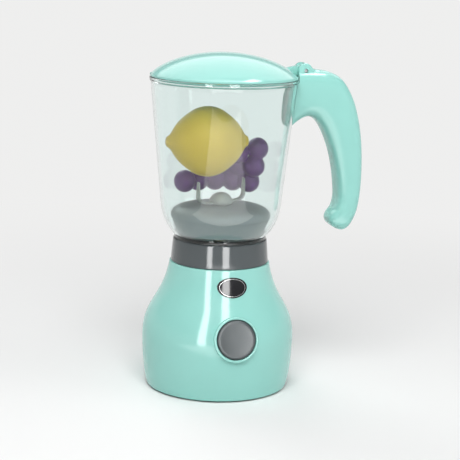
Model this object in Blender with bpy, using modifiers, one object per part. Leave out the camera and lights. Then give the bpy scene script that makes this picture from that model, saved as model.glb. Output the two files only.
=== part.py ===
"""Toy blender for a play kitchen: battery base, lift-off jar with hooked handle, hinged lid and toy fruit.

Metres, +Z up. The origin is on the base's axis at table height, the button faces -Y and the handle is at +X.
"""

import math

import bmesh
import bpy
from mathutils import Matrix, Vector

# Shared values
GAP = 0.0003  # between two pieces that seat on each other
RUN_GAP = 0.0008  # between a turning piece and what is round it
OVERRUN = 0.003  # how far a cutter reaches past the face it opens
SEAM = 0.0006  # how deep a boss or a rib is rooted in the wall that carries it
MERGE = 0.00001
FULL_TURN = 2 * math.pi
FINE_STEPS = 28
PLAIN_STEPS = 18
SMALL_STEPS = 8

# Base housing
FOOT_PROUD = 0.0012
BASE_TOP_RADIUS = 0.0374
BASE_WIDEST_RADIUS = 0.0568
BASE_WIDEST_RISE = 0.0370
BASE_BOTTOM_RADIUS = 0.0530
BASE_WALL = 0.0022
BASE_EDGE = 0.0008
BELL_NECK_PULL = 0.0300
BELL_NECK_FLARE = 0.0051
BELL_WAIST_PULL = 0.0240
BELL_FOOT_PULL = 0.0160
BELL_FOOT_FLARE = 0.0022
WELL_DEPTH = 0.0087
WELL_RADIUS = 0.0331
DECK_THICKNESS = 0.0024

# Base plate, its screws and feet
PLATE_THICKNESS = 0.0040
BOSS_RADIUS = 0.0040
BOSS_LENGTH = 0.0100
BOSS_WEB_WIDTH = 0.0020
PLATE_SCREW_EDGE = 0.0040
SCREW_RADIUS = 0.0013
SCREW_HEAD_RADIUS = 0.0026
SCREW_HEAD_THICKNESS = 0.0012
SCREW_BITE = 0.0060
FOOT_RADIUS = 0.0045
FOOT_RING_RADIUS = 0.0440
FOOT_SINK = 0.0010

# Battery box
CELL_RADIUS = 0.00725
CELL_LENGTH = 0.0490
CELL_NUB_RADIUS = 0.0027
CELL_NUB_LENGTH = 0.0015
CELL_PITCH = 0.0152
BOX_WALL = 0.0016
BOX_END_SPACE = 0.0060
DOOR_THICKNESS = 0.0024
DOOR_MARGIN = 0.0022
DOOR_SCREW_END = 0.0085
DOOR_TAB_WIDTH = 0.0060
DOOR_TAB_REACH = 0.0025
DOOR_TAB_THICKNESS = 0.0012
CONTACT_THICKNESS = 0.0004
CONTACT_SIZE = 0.0110
SPRING_RADIUS = 0.0032
SPRING_TURNS = 3
SPRING_WIRE_RADIUS = 0.00035

# Motor and its bracket
MOTOR_RADIUS = 0.0100
MOTOR_FLAT = 0.0150
MOTOR_LENGTH = 0.0225
MOTOR_EDGE = 0.0010
MOTOR_CAP_LENGTH = 0.0024
MOTOR_CAP_RADIUS = 0.0094
MOTOR_NOSE_RADIUS = 0.0031
MOTOR_NOSE_LENGTH = 0.0016
MOTOR_SHAFT_RADIUS = 0.0010
SHAFT_IN_MOTOR = 0.0050
TERMINAL_WIDTH = 0.0022
TERMINAL_THICKNESS = 0.0006
TERMINAL_LENGTH = 0.0030
TERMINAL_OFFSET = 0.0060
BRACKET_WALL = 0.0020
BRACKET_EAR_REACH = 0.0105
BRACKET_EAR_WIDTH = 0.0090
BRACKET_EAR_THICKNESS = 0.0026
BRACKET_POST_RADIUS = 0.0034
BRACKET_POST_OFFSET = 0.0186
BRACKET_POST_LENGTH = 0.0060

# Dog clutch between the base and the jar
DOG_PLATE_RADIUS = 0.0090
DOG_PLATE_THICKNESS = 0.0018
DOG_CORE_RADIUS = 0.0050
DOG_TOOTH_REACH = 0.0074
DOG_TOOTH_WIDTH = 0.0022
DOG_TEETH = 6
DOG_HEIGHT = 0.0052
DOG_PLAY = 0.0004
COUPLER_RADIUS = 0.0098
COUPLER_TOP = 0.0036

# Push button and its switch
BUTTON_RISE = 0.0468
BUTTON_TILT = math.radians(12)
BUTTON_RADIUS = 0.0142
BUTTON_PLAY = 0.0004
BUTTON_TRAVEL = 0.0022
BUTTON_PROUD = 0.0016
BUTTON_WALL = 0.0016
BUTTON_EDGE = 0.0012
BUTTON_DISH = 0.0007
DISH_MID_SHARE = 0.8
BUTTON_FLANGE_REACH = 0.0012
BUTTON_FLANGE_THICKNESS = 0.0012
STEM_RADIUS = 0.0028
BEZEL_WIDTH = 0.0019
BEZEL_SINK = 0.0004
BEZEL_DEPTH = 0.0074
BEZEL_EDGE = 0.0006
SWITCH_SIZE = 0.0080
PLUNGER_RADIUS = 0.0016
PLUNGER_STROKE_SPACE = 0.0006
PLUNGER_GRIP = 0.0024
SWITCH_FLOOR = 0.0014
BOARD_HEIGHT = 0.0140
BOARD_THICKNESS = 0.0016
BOARD_POST_WIDTH = 0.0044
BOARD_POST_HEIGHT = 0.0060
BOARD_SCREW_RADIUS = 0.0009
BOARD_SCREW_HEAD_RADIUS = 0.0018
BOARD_SCREW_BITE = 0.0040

# Badge
BADGE_WIDTH = 0.0224
BADGE_HEIGHT = 0.0142
BADGE_RISE = 0.0816
BADGE_HEADROOM = 0.0048  # from the badge up to the rim of the base
BADGE_THICKNESS = 0.0011
BADGE_PROUD = 0.0005

# Leads
LEAD_RADIUS = 0.0006

# Jar collar
COLLAR_HEIGHT = 0.0172
COLLAR_TOP_RADIUS = 0.0349
COLLAR_BOTTOM_RADIUS = 0.0364
COLLAR_EDGE = 0.0007
SPIGOT_LENGTH = 0.0080
SPIGOT_WALL = 0.0020
WEB_RISE = 0.0055
WEB_THICKNESS = 0.0025
HUB_RADIUS = 0.0075
HUB_HEIGHT = 0.0110

# Blade shaft and its bush
BLADE_SHAFT_RADIUS = 0.0020
BUSH_WALL = 0.0019
BUSH_FLANGE_RADIUS = 0.0062
BUSH_FLANGE_THICKNESS = 0.0012

# Jar
JAR_HEIGHT = 0.1188
JAR_WALL = 0.0020
JAR_TOP_RADIUS = 0.0536
JAR_SHOULDER_RADIUS = 0.0449
JAR_SHOULDER_RISE = 0.0278
JAR_FOOT_RADIUS = 0.0328
JAR_NECK_RADIUS = 0.0315
BOWL_UPPER_PULL = 0.0140
BOWL_LOWER_PULL = 0.0110
BOWL_FOOT_SLOPE = math.radians(52)
JAR_RIM_REACH = 0.0010
JAR_RIM_HEIGHT = 0.0024
JAR_RIM_EDGE = 0.0006
RAIL_WIDTH = 0.0080
RAIL_REACH = 0.0080
RAIL_HEIGHT = 0.0220
RAIL_DROP = 0.0070

# Blade seat, the dome that closes the jar's bottom
SEAT_RISE = 0.0052
SEAT_HEIGHT = 0.0221
SEAT_SHOULDER_INSET = 0.0032
SEAT_SHOULDER_RISE = 0.0115
SEAT_CROWN_RADIUS = 0.0130
SEAT_CROWN_DROP = 0.0006
SEAT_CREST_SHARE = 0.75
SEAT_WALL = 0.0020
SLEEVE_RADIUS = 0.0064
SLEEVE_FLANGE_REACH = 0.0014
SLEEVE_FLANGE_THICKNESS = 0.0015

# Blade set
BLADE_HUB_RADIUS = 0.0096
BLADE_HUB_HEIGHT = 0.0044
HUB_CREST_SHARE = 0.85
BLADE_POST_RADIUS = 0.0034
BLADE_TIP_RADIUS = 0.0022
BLADE_HEIGHT = 0.0200
BLADE_COLLAR_RADIUS = 0.0050
BLADE_COLLAR_RISE = 0.0105
BLADE_COLLAR_THICKNESS = 0.0018
BLADE_TURN = 24  # degrees
LOWER_BLADE_REACH = 0.0220
LOWER_BLADE_RISE = 0.0145
LOWER_BLADE_BEND = 0.0050
UPPER_BLADE_REACH = 0.0110
UPPER_BLADE_LIFT = 0.0040
UPPER_BLADE_WIDTH = 0.0049
BLADE_WIDTH = 0.0070
BLADE_THICKNESS = 0.0016

# Lid
LID_RADIUS = 0.0542
LID_CROWN = 0.0180
LID_FULLNESS = 0.714
LID_WALL = 0.0020
SKIRT_DEPTH = 0.0050
SKIRT_PLAY = 0.0010
SKIRT_WALL = 0.0016

# Hinge of the lid
HINGE_OFFSET = 0.0058
HINGE_RISE = 0.0053
KNUCKLE_RADIUS = 0.0054
KNUCKLE_WIDTH = 0.0042
KNUCKLE_FILLET = 0.0060
TONGUE_RADIUS = 0.0048
TONGUE_WIDTH = 0.0060
TONGUE_ARM_DROP = 0.0038
TONGUE_ARM_RISE = 0.0016
PIN_RADIUS = 0.0012

# Handle
HANDLE_SPAN = 0.0627
HANDLE_CREST = 0.0060
HANDLE_DROP = 0.1210
HANDLE_THICKNESS = 0.0250
HANDLE_SQUARENESS = 3.2
HANDLE_SCREW_EMBED = 0.0055
HANDLE_SCREW_RECESS = 0.0030

# Toy fruit
LEMON_RADIUS = 0.0256
LEMON_LENGTH = 0.0610
LEMON_NUB = 0.0030
LEMON_NUB_RADIUS = 0.0055
LEMON_TIP_RADIUS = 0.0033
LEMON_FRONT = 0.0130
LEMON_RISE = 0.0738
GRAPE_RADIUS = 0.0085
GRAPE_RISE = 0.0381

# Colours as red, green, blue
AQUA = (0.36, 0.78, 0.68)
DARK_GREY = (0.12, 0.125, 0.13)
MID_GREY = (0.19, 0.20, 0.21)
PALE_GREY = (0.45, 0.47, 0.48)
CLEAR = (0.80, 0.92, 0.90)
BLACK = (0.01, 0.01, 0.012)
STEEL = (0.62, 0.63, 0.64)
BRASS = (0.70, 0.55, 0.28)
BOARD_GREEN = (0.05, 0.25, 0.12)
LEMON_YELLOW = (0.90, 0.72, 0.10)
GRAPE_PURPLE = (0.26, 0.08, 0.34)

# Ribs across the hook, root to tip, as shares of the handle's box: inner edge, outer edge, thickness
HANDLE_RIB_SHARES = (
    (0.000, 0.601, 0.000, 0.992, 1.00),
    (0.145, 0.674, 0.161, 0.998, 1.00),
    (0.273, 0.711, 0.344, 1.000, 1.00),
    (0.373, 0.702, 0.544, 0.988, 1.00),
    (0.451, 0.665, 0.711, 0.941, 1.00),
    (0.525, 0.599, 0.844, 0.837, 1.00),
    (0.585, 0.526, 0.923, 0.717, 1.00),
    (0.630, 0.452, 0.971, 0.588, 1.00),
    (0.667, 0.365, 0.995, 0.456, 1.00),
    (0.692, 0.274, 1.000, 0.336, 1.00),
    (0.700, 0.204, 0.987, 0.229, 1.00),
    (0.675, 0.141, 0.959, 0.138, 1.00),
    (0.624, 0.107, 0.914, 0.070, 0.99),
    (0.601, 0.077, 0.853, 0.021, 0.93),
    (0.614, 0.047, 0.783, 0.002, 0.78),
    (0.656, 0.024, 0.722, 0.005, 0.42),
)
# Shares of the handle's box where its halves are screwed together
HANDLE_SCREW_SHARES = ((0.50, 0.86), (0.845, 0.55), (0.845, 0.15))

# Rows of grapes: share of the grape pitch upwards, share of the room beside the wall, first angle, count
GRAPE_ROW_SHARES = ((0.0, 1.0, 38, 5), (0.95, 0.93, 28, 4), (1.75, 0.62, 45, 4), (1.95, 0.97, 27, 1))
GRAPE_PITCH_SHARE = 1.55
GRAPE_SPREAD = math.radians(23)

# Heights above the table, bottom to top
PLATE_Z = FOOT_PROUD
BASE_HEIGHT = BADGE_RISE + BADGE_HEIGHT / 2 + BADGE_HEADROOM
BASE_TOP_Z = FOOT_PROUD + BASE_HEIGHT
DECK_Z = BASE_TOP_Z - WELL_DEPTH
DECK_UNDER_Z = DECK_Z - DECK_THICKNESS
COLLAR_Z = BASE_TOP_Z + GAP
COLLAR_TOP_Z = COLLAR_Z + COLLAR_HEIGHT
WEB_Z = COLLAR_Z + WEB_RISE
HUB_Z = WEB_Z - RUN_GAP
HUB_TOP_Z = HUB_Z + HUB_HEIGHT
BUSH_TOP_Z = HUB_TOP_Z + GAP + BUSH_FLANGE_THICKNESS
JAR_FOOT_Z = COLLAR_TOP_Z + GAP
JAR_NECK_Z = WEB_Z + WEB_THICKNESS + GAP
JAR_TOP_Z = COLLAR_TOP_Z + JAR_HEIGHT
JAR_SHOULDER_Z = COLLAR_TOP_Z + JAR_SHOULDER_RISE
LID_Z = JAR_TOP_Z + GAP
HINGE_Z = LID_Z + HINGE_RISE
SEAT_Z = COLLAR_TOP_Z + SEAT_RISE
SEAT_TOP_Z = SEAT_Z + SEAT_HEIGHT
BLADE_Z = SEAT_TOP_Z + RUN_GAP
DOG_Z = DECK_Z + RUN_GAP
DOG_TEETH_Z = DOG_Z + DOG_PLATE_THICKNESS
COUPLER_Z = DOG_TEETH_Z + DOG_PLAY
COUPLER_FLOOR_Z = DOG_TEETH_Z + DOG_HEIGHT + DOG_PLAY
COUPLER_TOP_Z = COUPLER_FLOOR_Z + COUPLER_TOP
MOTOR_TOP_Z = DECK_UNDER_Z - GAP
MOTOR_BOTTOM_Z = MOTOR_TOP_Z - MOTOR_LENGTH - MOTOR_CAP_LENGTH
HANDLE_Z = LID_Z + HANDLE_CREST - HANDLE_DROP

# Reaches from the axis
HINGE_REACH = LID_RADIUS + HINGE_OFFSET
HANDLE_REACH = JAR_SHOULDER_RADIUS + HANDLE_SPAN
PLATE_RADIUS = BASE_BOTTOM_RADIUS - BASE_WALL - GAP
BOSS_RING_RADIUS = PLATE_RADIUS - PLATE_SCREW_EDGE


# Scene and material helpers


def clear_scene():
    for obj in list(bpy.data.objects):
        bpy.data.objects.remove(obj, do_unlink=True)


def new_collection(name):
    collection = bpy.data.collections.new(name)
    bpy.context.scene.collection.children.link(collection)
    return collection


def finish(name, colour, roughness, metallic=0.0, clear=0.0):
    """A Principled material; clear is its transmission weight."""
    material = bpy.data.materials.new(name)
    material.use_nodes = True
    shader = material.node_tree.nodes["Principled BSDF"]
    shader.inputs["Base Color"].default_value = (*colour, 1.0)
    shader.inputs["Roughness"].default_value = roughness
    shader.inputs["Metallic"].default_value = metallic
    shader.inputs["Transmission Weight"].default_value = clear
    material.diffuse_color = (*colour, 1.0)
    return material


def empty_at(name, place):
    """An empty whose axes are those of place, for pieces to hang on."""
    empty = bpy.data.objects.new(name, None)
    empty.matrix_world = place
    PARTS.objects.link(empty)
    return empty


def add_object(name, mesh, material=None):
    obj = bpy.data.objects.new(name, mesh)
    PARTS.objects.link(obj)
    if material:
        mesh.materials.append(material)
    return obj


def mesh_from(bm, name):
    mesh = bpy.data.meshes.new(name)
    bm.to_mesh(mesh)
    bm.free()
    return mesh


def as_cutter(obj):
    obj.hide_render = True
    obj.display_type = "WIRE"
    for collection in list(obj.users_collection):
        collection.objects.unlink(obj)
    CUTTERS.objects.link(obj)
    return obj


def boolean(obj, tool, operation):
    modifier = obj.modifiers.new(operation.title(), "BOOLEAN")
    modifier.operation = operation
    modifier.object = as_cutter(tool)
    modifier.solver = "EXACT"
    return obj


def cut(obj, *tools):
    for tool in tools:
        boolean(obj, tool, "DIFFERENCE")
    return obj


def fuse(obj, *tools):
    for tool in tools:
        boolean(obj, tool, "UNION")
    return obj


def keep_inside(obj, tool):
    return boolean(obj, tool, "INTERSECT")


# Shape helpers


def bezier(start, leave, arrive, end, count):
    """Points of a cubic Bezier curve in (radius, height), both ends included."""
    corners = (start, leave, arrive, end)
    points = []
    for index in range(count + 1):
        t = index / count
        s = 1 - t
        weights = (s**3, 3 * s * s * t, 3 * s * t * t, t**3)
        points.append(tuple(sum(w * c[axis] for w, c in zip(weights, corners)) for axis in (0, 1)))
    return points


def inset(points, depth):
    """An outline that runs down the outer side, moved inwards by depth square to itself."""
    moved = []
    for index, (radius, height) in enumerate(points):
        before = points[max(index - 1, 0)]
        after = points[min(index + 1, len(points) - 1)]
        across, along = after[0] - before[0], after[1] - before[1]
        length = math.hypot(across, along)
        moved.append((radius + along / length * depth, height - across / length * depth))
    return moved


def radius_at(points, height):
    """The radius of a falling outline at a height, straight between its points."""
    for (r0, z0), (r1, z1) in zip(points, points[1:]):
        if z1 <= height <= z0 and z0 > z1:
            return r0 + (r1 - r0) * (z0 - height) / (z0 - z1)
    return points[0][0] if height > points[0][1] else points[-1][0]


def arc(centre, radius, start, end, count):
    """Points on a circle between two angles in degrees, both included."""
    angles = [math.radians(start + (end - start) * i / count) for i in range(count + 1)]
    return [(centre[0] + radius * math.cos(a), centre[1] + radius * math.sin(a)) for a in angles]


def turned(name, profile, material=None, steps=PLAIN_STEPS, closed=True):
    """A profile of (radius, height) points turned about Z.

    The points run down the outer side and up the inner one. A closed profile is a ring; an open one starts
    and ends on the axis.
    """
    mesh = bpy.data.meshes.new(name)
    count = len(profile)
    edges = [(i, i + 1) for i in range(count - 1)]
    if closed:
        edges.append((count - 1, 0))
    mesh.from_pydata([(radius, 0, height) for radius, height in profile], edges, [])
    obj = add_object(name, mesh, material)
    screw = obj.modifiers.new("Turn", "SCREW")
    screw.axis = "Z"
    screw.angle = FULL_TURN
    screw.steps = steps
    screw.render_steps = steps
    screw.use_merge_vertices = True
    screw.merge_threshold = MERGE
    screw.use_smooth_shade = True
    return obj


def rod_mesh(bm, radius, bottom, top, steps=SMALL_STEPS, centre=(0, 0)):
    place = Matrix.Translation((centre[0], centre[1], (bottom + top) / 2))
    bmesh.ops.create_cone(
        bm, cap_ends=True, segments=steps, radius1=radius, radius2=radius, depth=top - bottom, matrix=place
    )


def rods(name, spots, radius, bottom, top, material=None, steps=SMALL_STEPS):
    """One object with a separate upright cylinder at each (x, y) of spots."""
    bm = bmesh.new()
    for spot in spots:
        rod_mesh(bm, radius, bottom, top, steps, spot)
    return add_object(name, mesh_from(bm, name), material)


def rod(name, radius, bottom, top, material=None, steps=SMALL_STEPS, centre=(0, 0)):
    return rods(name, [centre], radius, bottom, top, material, steps)


def boxes(name, corners, material=None):
    """One object with a separate box for each (low corner, high corner)."""
    bm = bmesh.new()
    for low, high in corners:
        size = [h - l for l, h in zip(low, high)]
        middle = [(h + l) / 2 for l, h in zip(low, high)]
        bmesh.ops.create_cube(bm, size=1, matrix=Matrix.Translation(middle) @ Matrix.Diagonal((*size, 1)))
    return add_object(name, mesh_from(bm, name), material)


def box(name, low, high, material=None):
    return boxes(name, [(low, high)], material)


def as_mesh(obj, name, material=None):
    """The curve's evaluated shape as a closed mesh object; the curve is removed."""
    bpy.context.view_layer.update()
    evaluated = obj.evaluated_get(bpy.context.evaluated_depsgraph_get())
    mesh = bpy.data.meshes.new_from_object(evaluated)
    place = obj.matrix_world.copy()
    bpy.data.objects.remove(obj, do_unlink=True)
    bm = bmesh.new()
    bm.from_mesh(mesh)
    bmesh.ops.remove_doubles(bm, verts=bm.verts, dist=MERGE)
    bmesh.ops.dissolve_degenerate(bm, edges=bm.edges, dist=MERGE)
    bmesh.ops.recalc_face_normals(bm, faces=bm.faces)
    bm.to_mesh(mesh)
    bm.free()
    mesh.name = name
    solid = add_object(name, mesh, material)
    solid.matrix_world = place
    return solid


def slab(name, outline, low, high, flat=False, material=None):
    """A flat outline carried from low to high: along Z where flat, else an (x, z) outline carried along Y."""
    curve = bpy.data.curves.new(name, "CURVE")
    curve.dimensions = "2D"
    curve.fill_mode = "BOTH"
    curve.extrude = (high - low) / 2
    spline = curve.splines.new("POLY")
    spline.points.add(len(outline) - 1)
    for point, spot in zip(spline.points, outline):
        point.co = (*spot, 0, 1)
    spline.use_cyclic_u = True
    source = add_object(name, curve)
    middle = (low + high) / 2
    source.location = (0, 0, middle) if flat else (0, middle, 0)
    source.rotation_euler = (0, 0, 0) if flat else (math.radians(90), 0, 0)
    return as_mesh(source, name, material)


def lofted(name, points, count):
    """A closed mesh through rings of count points each, with a flat face over the first and the last ring."""
    rings = len(points) // count
    faces = [tuple(range(count)), tuple(range((rings - 1) * count, rings * count))]
    for ring in range(rings - 1):
        first = ring * count
        for index in range(count):
            following = (index + 1) % count
            faces.append((first + index, first + following, first + count + following, first + count + index))
    mesh = bpy.data.meshes.new(name)
    mesh.from_pydata(points, [], faces)
    bm = bmesh.new()
    bm.from_mesh(mesh)
    bmesh.ops.recalc_face_normals(bm, faces=bm.faces)
    bm.to_mesh(mesh)
    bm.free()
    return mesh


def smooth_through(rows, steps):
    """Catmull-Rom rows through the given ones, steps to a span."""
    found = []
    for index in range(len(rows) - 1):
        around = [rows[min(max(index + shift, 0), len(rows) - 1)] for shift in (-1, 0, 1, 2)]
        for step in range(steps):
            t = step / steps
            weights = (
                (-t + 2 * t**2 - t**3) / 2,
                (2 - 5 * t**2 + 3 * t**3) / 2,
                (t + 4 * t**2 - 3 * t**3) / 2,
                (t**3 - t**2) / 2,
            )
            columns = zip(*around)
            found.append(tuple(sum(w * value for w, value in zip(weights, column)) for column in columns))
    return found + [tuple(rows[-1])]


def tube(name, points, radius, material=None):
    """A wire through its points with closed ends."""
    curve = bpy.data.curves.new(name, "CURVE")
    curve.dimensions = "3D"
    curve.bevel_depth = radius
    curve.bevel_resolution = 1
    curve.use_fill_caps = True
    spline = curve.splines.new("POLY")
    spline.points.add(len(points) - 1)
    for point, spot in zip(spline.points, points):
        point.co = (*spot, 1)
    return as_mesh(add_object(name, curve), name, material)


def joined(name, pieces, material=None):
    """One object that holds the meshes of several as separate bodies; they have no live modifiers."""
    bm = bmesh.new()
    for piece in pieces:
        mesh = piece.data
        mesh.transform(piece.matrix_world)
        bm.from_mesh(mesh)
        bpy.data.objects.remove(piece, do_unlink=True)
    return add_object(name, mesh_from(bm, name), material)


def screw(name, head, direction, length, material, radius=SCREW_RADIUS, head_radius=SCREW_HEAD_RADIUS):
    """A pan-head screw: its head's outer face is at the point head, and its shank lies along direction.

    It starts as the head; the head's inner face is inset to the shank's radius and drawn out to the length.
    """
    bm = bmesh.new()
    rod_mesh(bm, head_radius, 0, SCREW_HEAD_THICKNESS)
    cap = max(bm.faces, key=lambda face: face.calc_center_median().z)
    bmesh.ops.inset_individual(bm, faces=[cap], thickness=head_radius - radius)
    shank = bmesh.ops.extrude_discrete_faces(bm, faces=[cap])["faces"][0]
    bmesh.ops.translate(bm, verts=shank.verts, vec=(0, 0, length - SCREW_HEAD_THICKNESS))
    turn = Vector(direction).to_track_quat("Z", "Y").to_matrix().to_4x4()
    bm.transform(Matrix.Translation(head) @ turn)
    return add_object(name, mesh_from(bm, name), material)


def ring_of(count, radius, start=0.0):
    """(x, y) spots evenly spaced on a circle from a start angle in degrees."""
    angles = [math.radians(start) + FULL_TURN * i / count for i in range(count)]
    return [(radius * math.cos(a), radius * math.sin(a)) for a in angles]


# Outlines that more than one piece follows


def bell_outline():
    """The base's outer side, from under its top edge to its widest ring and on to its bottom edge."""
    widest_z = FOOT_PROUD + BASE_WIDEST_RISE
    upper = bezier(
        (BASE_TOP_RADIUS, BASE_TOP_Z - BASE_EDGE),
        (BASE_TOP_RADIUS + BELL_NECK_FLARE, BASE_TOP_Z - BELL_NECK_PULL),
        (BASE_WIDEST_RADIUS, widest_z + BELL_WAIST_PULL),
        (BASE_WIDEST_RADIUS, widest_z),
        9,
    )
    lower = bezier(
        (BASE_WIDEST_RADIUS, widest_z),
        (BASE_WIDEST_RADIUS, widest_z - BELL_FOOT_PULL),
        (BASE_BOTTOM_RADIUS + BELL_FOOT_FLARE, PLATE_Z + BELL_FOOT_PULL / 2),
        (BASE_BOTTOM_RADIUS, PLATE_Z),
        4,
    )
    return upper + lower[1:]


def jar_outline():
    """The jar's outer side below its rim: a straight taper, then the rounded bowl down to its foot."""
    top_z = JAR_TOP_Z - JAR_RIM_HEIGHT - JAR_RIM_REACH
    slope = (JAR_TOP_RADIUS - JAR_SHOULDER_RADIUS) / (top_z - JAR_SHOULDER_Z)
    across = math.cos(BOWL_FOOT_SLOPE) * BOWL_LOWER_PULL
    up = math.sin(BOWL_FOOT_SLOPE) * BOWL_LOWER_PULL
    bowl = bezier(
        (JAR_SHOULDER_RADIUS, JAR_SHOULDER_Z),
        (JAR_SHOULDER_RADIUS - slope * BOWL_UPPER_PULL, JAR_SHOULDER_Z - BOWL_UPPER_PULL),
        (JAR_FOOT_RADIUS + across, JAR_FOOT_Z + up),
        (JAR_FOOT_RADIUS, JAR_FOOT_Z),
        6,
    )
    return [(JAR_TOP_RADIUS, top_z)] + bowl


def jar_radius(height, depth=0.0):
    """The jar's radius at a height, depth inside its outer face."""
    return radius_at(inset(jar_outline(), depth), height)


def jar_flat(height):
    """How far the middle of a facet inside the jar is from the axis at a height."""
    return jar_radius(height, JAR_WALL) * math.cos(math.pi / FINE_STEPS)


def lid_outline(depth, reach, count=8):
    """The lid's dome from its crown out to the radius reach, depth under its outer face."""
    radius, crown = LID_RADIUS - depth, LID_CROWN - depth
    last = math.asin(reach / radius)
    points = []
    for index in range(count + 1):
        share = math.sin(last * index / count)
        points.append((radius * share, LID_Z + crown * (1 - share * share) ** LID_FULLNESS))
    return points


def lid_radius(height, depth):
    """The radius of the lid's dome at a height, depth under its outer face."""
    share = 1 - ((height - LID_Z) / (LID_CROWN - depth)) ** (1 / LID_FULLNESS)
    return (LID_RADIUS - depth) * math.sqrt(share)


def dog_outline(play=0.0):
    """The clutch's round core with its teeth, walked round; play widens it all over."""
    core, reach = DOG_CORE_RADIUS + play, DOG_TOOTH_REACH + play
    half = DOG_TOOTH_WIDTH / 2 + play
    points = []
    for index in range(DOG_TEETH):
        turn = Matrix.Rotation(FULL_TURN * index / DOG_TEETH, 2)
        root = math.sqrt(core * core - half * half)
        for spot in ((root, -half), (reach, -half), (reach, half), (root, half)):
            points.append(tuple(turn @ Vector(spot)))
        valley = Matrix.Rotation(FULL_TURN * (index + 1 / 2) / DOG_TEETH, 2)
        points.append(tuple(valley @ Vector((core, 0))))
    return points


def ellipse(width, height, count=28):
    return [
        (width / 2 * math.cos(FULL_TURN * i / count), height / 2 * math.sin(FULL_TURN * i / count))
        for i in range(count)
    ]


def button_frame():
    """Where the button's axis leaves the bell: +Z out along the axis, +Y up the face."""
    height = PLATE_Z + BUTTON_RISE
    place = Matrix.Translation((0, -radius_at(bell_outline(), height), height))
    return place @ Matrix.Rotation(math.radians(90) - BUTTON_TILT, 4, "X")


def hang_on(empty, *objs):
    """Parents objects whose own coordinates are the empty's."""
    for obj in objs:
        obj.parent = empty


# Sizes that the button's neighbours share, along the button's own axis


def button_levels():
    levels = {"face": BUTTON_PROUD - BEZEL_SINK}
    levels["flange_top"] = -BEZEL_DEPTH - GAP
    levels["flange_bottom"] = levels["flange_top"] - BUTTON_FLANGE_THICKNESS
    levels["stem_end"] = levels["flange_bottom"] - GAP
    levels["plunger_top"] = levels["stem_end"] - GAP
    levels["switch_top"] = levels["plunger_top"] - BUTTON_TRAVEL - PLUNGER_STROKE_SPACE
    levels["plunger_bottom"] = levels["switch_top"] - PLUNGER_GRIP
    levels["switch_bore"] = levels["plunger_bottom"] - BUTTON_TRAVEL - GAP
    levels["switch_bottom"] = levels["switch_bore"] - SWITCH_FLOOR
    levels["board_top"] = levels["switch_bottom"] - GAP
    levels["board_bottom"] = levels["board_top"] - BOARD_THICKNESS
    return levels


def board_post_x():
    """The near and far side of a board post, which clears the bezel."""
    near = BUTTON_RADIUS + BUTTON_PLAY + BEZEL_WIDTH + RUN_GAP
    return near, near + BOARD_POST_WIDTH


# Base


def make_base_shell():
    outer = bell_outline()
    inner = [p for p in inset(outer, BASE_WALL)[::2] if p[1] < DECK_UNDER_Z - SEAM]
    inner[-1] = (BASE_BOTTOM_RADIUS - BASE_WALL, PLATE_Z)
    nose_hole = MOTOR_NOSE_RADIUS + GAP
    deck_edge = radius_at(inset(outer, BASE_WALL), DECK_UNDER_Z)
    profile = [(BASE_TOP_RADIUS - BASE_EDGE, BASE_TOP_Z)] + outer + inner[::-1]
    profile += [(deck_edge, DECK_UNDER_Z), (nose_hole, DECK_UNDER_Z), (nose_hole, DECK_Z)]
    profile += [(WELL_RADIUS, DECK_Z), (WELL_RADIUS, BASE_TOP_Z)]
    shell = turned("base_shell", profile, MATERIALS["aqua"], FINE_STEPS)

    levels = button_levels()
    bezel_radius = BUTTON_RADIUS + BUTTON_PLAY + BEZEL_WIDTH
    bezel = turned(
        "bezel_boss",
        [
            (0, -BEZEL_SINK),
            (bezel_radius - BEZEL_EDGE, -BEZEL_SINK),
            (bezel_radius, -BEZEL_SINK - BEZEL_EDGE),
            (bezel_radius, -BEZEL_DEPTH),
            (0, -BEZEL_DEPTH),
        ],
        steps=PLAIN_STEPS,
        closed=False,
    )
    near, far = board_post_x()
    widest = radius_at(outer, PLATE_Z + BUTTON_RISE)
    post_root = -(widest - math.sqrt(widest * widest - far * far)) - SEAM
    half = BOARD_POST_HEIGHT / 2
    post_end = levels["board_top"] + GAP
    sides = ((near, far), (-far, -near))
    posts = boxes("board_posts", [((low, -half, post_end), (high, half, post_root)) for low, high in sides])
    bore = rod("button_bore", BUTTON_RADIUS + BUTTON_PLAY, -BEZEL_DEPTH - OVERRUN, OVERRUN, steps=PLAIN_STEPS)
    middle = (near + far) / 2
    pilots = rods(
        "board_pilots",
        [(middle, 0), (-middle, 0)],
        BOARD_SCREW_RADIUS + GAP,
        post_end - OVERRUN,
        post_end + BOARD_SCREW_BITE + GAP,
    )
    hang_on(BUTTON_AXIS, bezel, posts, bore, pilots)

    boss_z = PLATE_Z + PLATE_THICKNESS + GAP
    spots = ring_of(4, BOSS_RING_RADIUS, 45)
    bosses = rods("screw_bosses", spots, BOSS_RADIUS, boss_z, boss_z + BOSS_LENGTH)
    webs = boss_webs("boss_webs", boss_z, boss_z + BOSS_LENGTH)
    boss_pilots = rods("boss_pilots", spots, SCREW_RADIUS + GAP, boss_z - OVERRUN, boss_z + SCREW_BITE + GAP)
    post_spots = [(BRACKET_POST_OFFSET, 0), (-BRACKET_POST_OFFSET, 0)]
    post_z = DECK_UNDER_Z - BRACKET_POST_LENGTH
    hangers = rods("bracket_posts", post_spots, BRACKET_POST_RADIUS, post_z, DECK_UNDER_Z + SEAM)
    hanger_pilots = rods(
        "bracket_pilots",
        post_spots,
        SCREW_RADIUS + GAP,
        post_z - OVERRUN,
        DECK_UNDER_Z - SEAM,
    )
    fuse(shell, bezel, posts, webs, bosses, hangers)
    cut(shell, bore, pilots, boss_pilots, hanger_pilots, badge_layer("badge_recess", GAP))
    return shell


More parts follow.
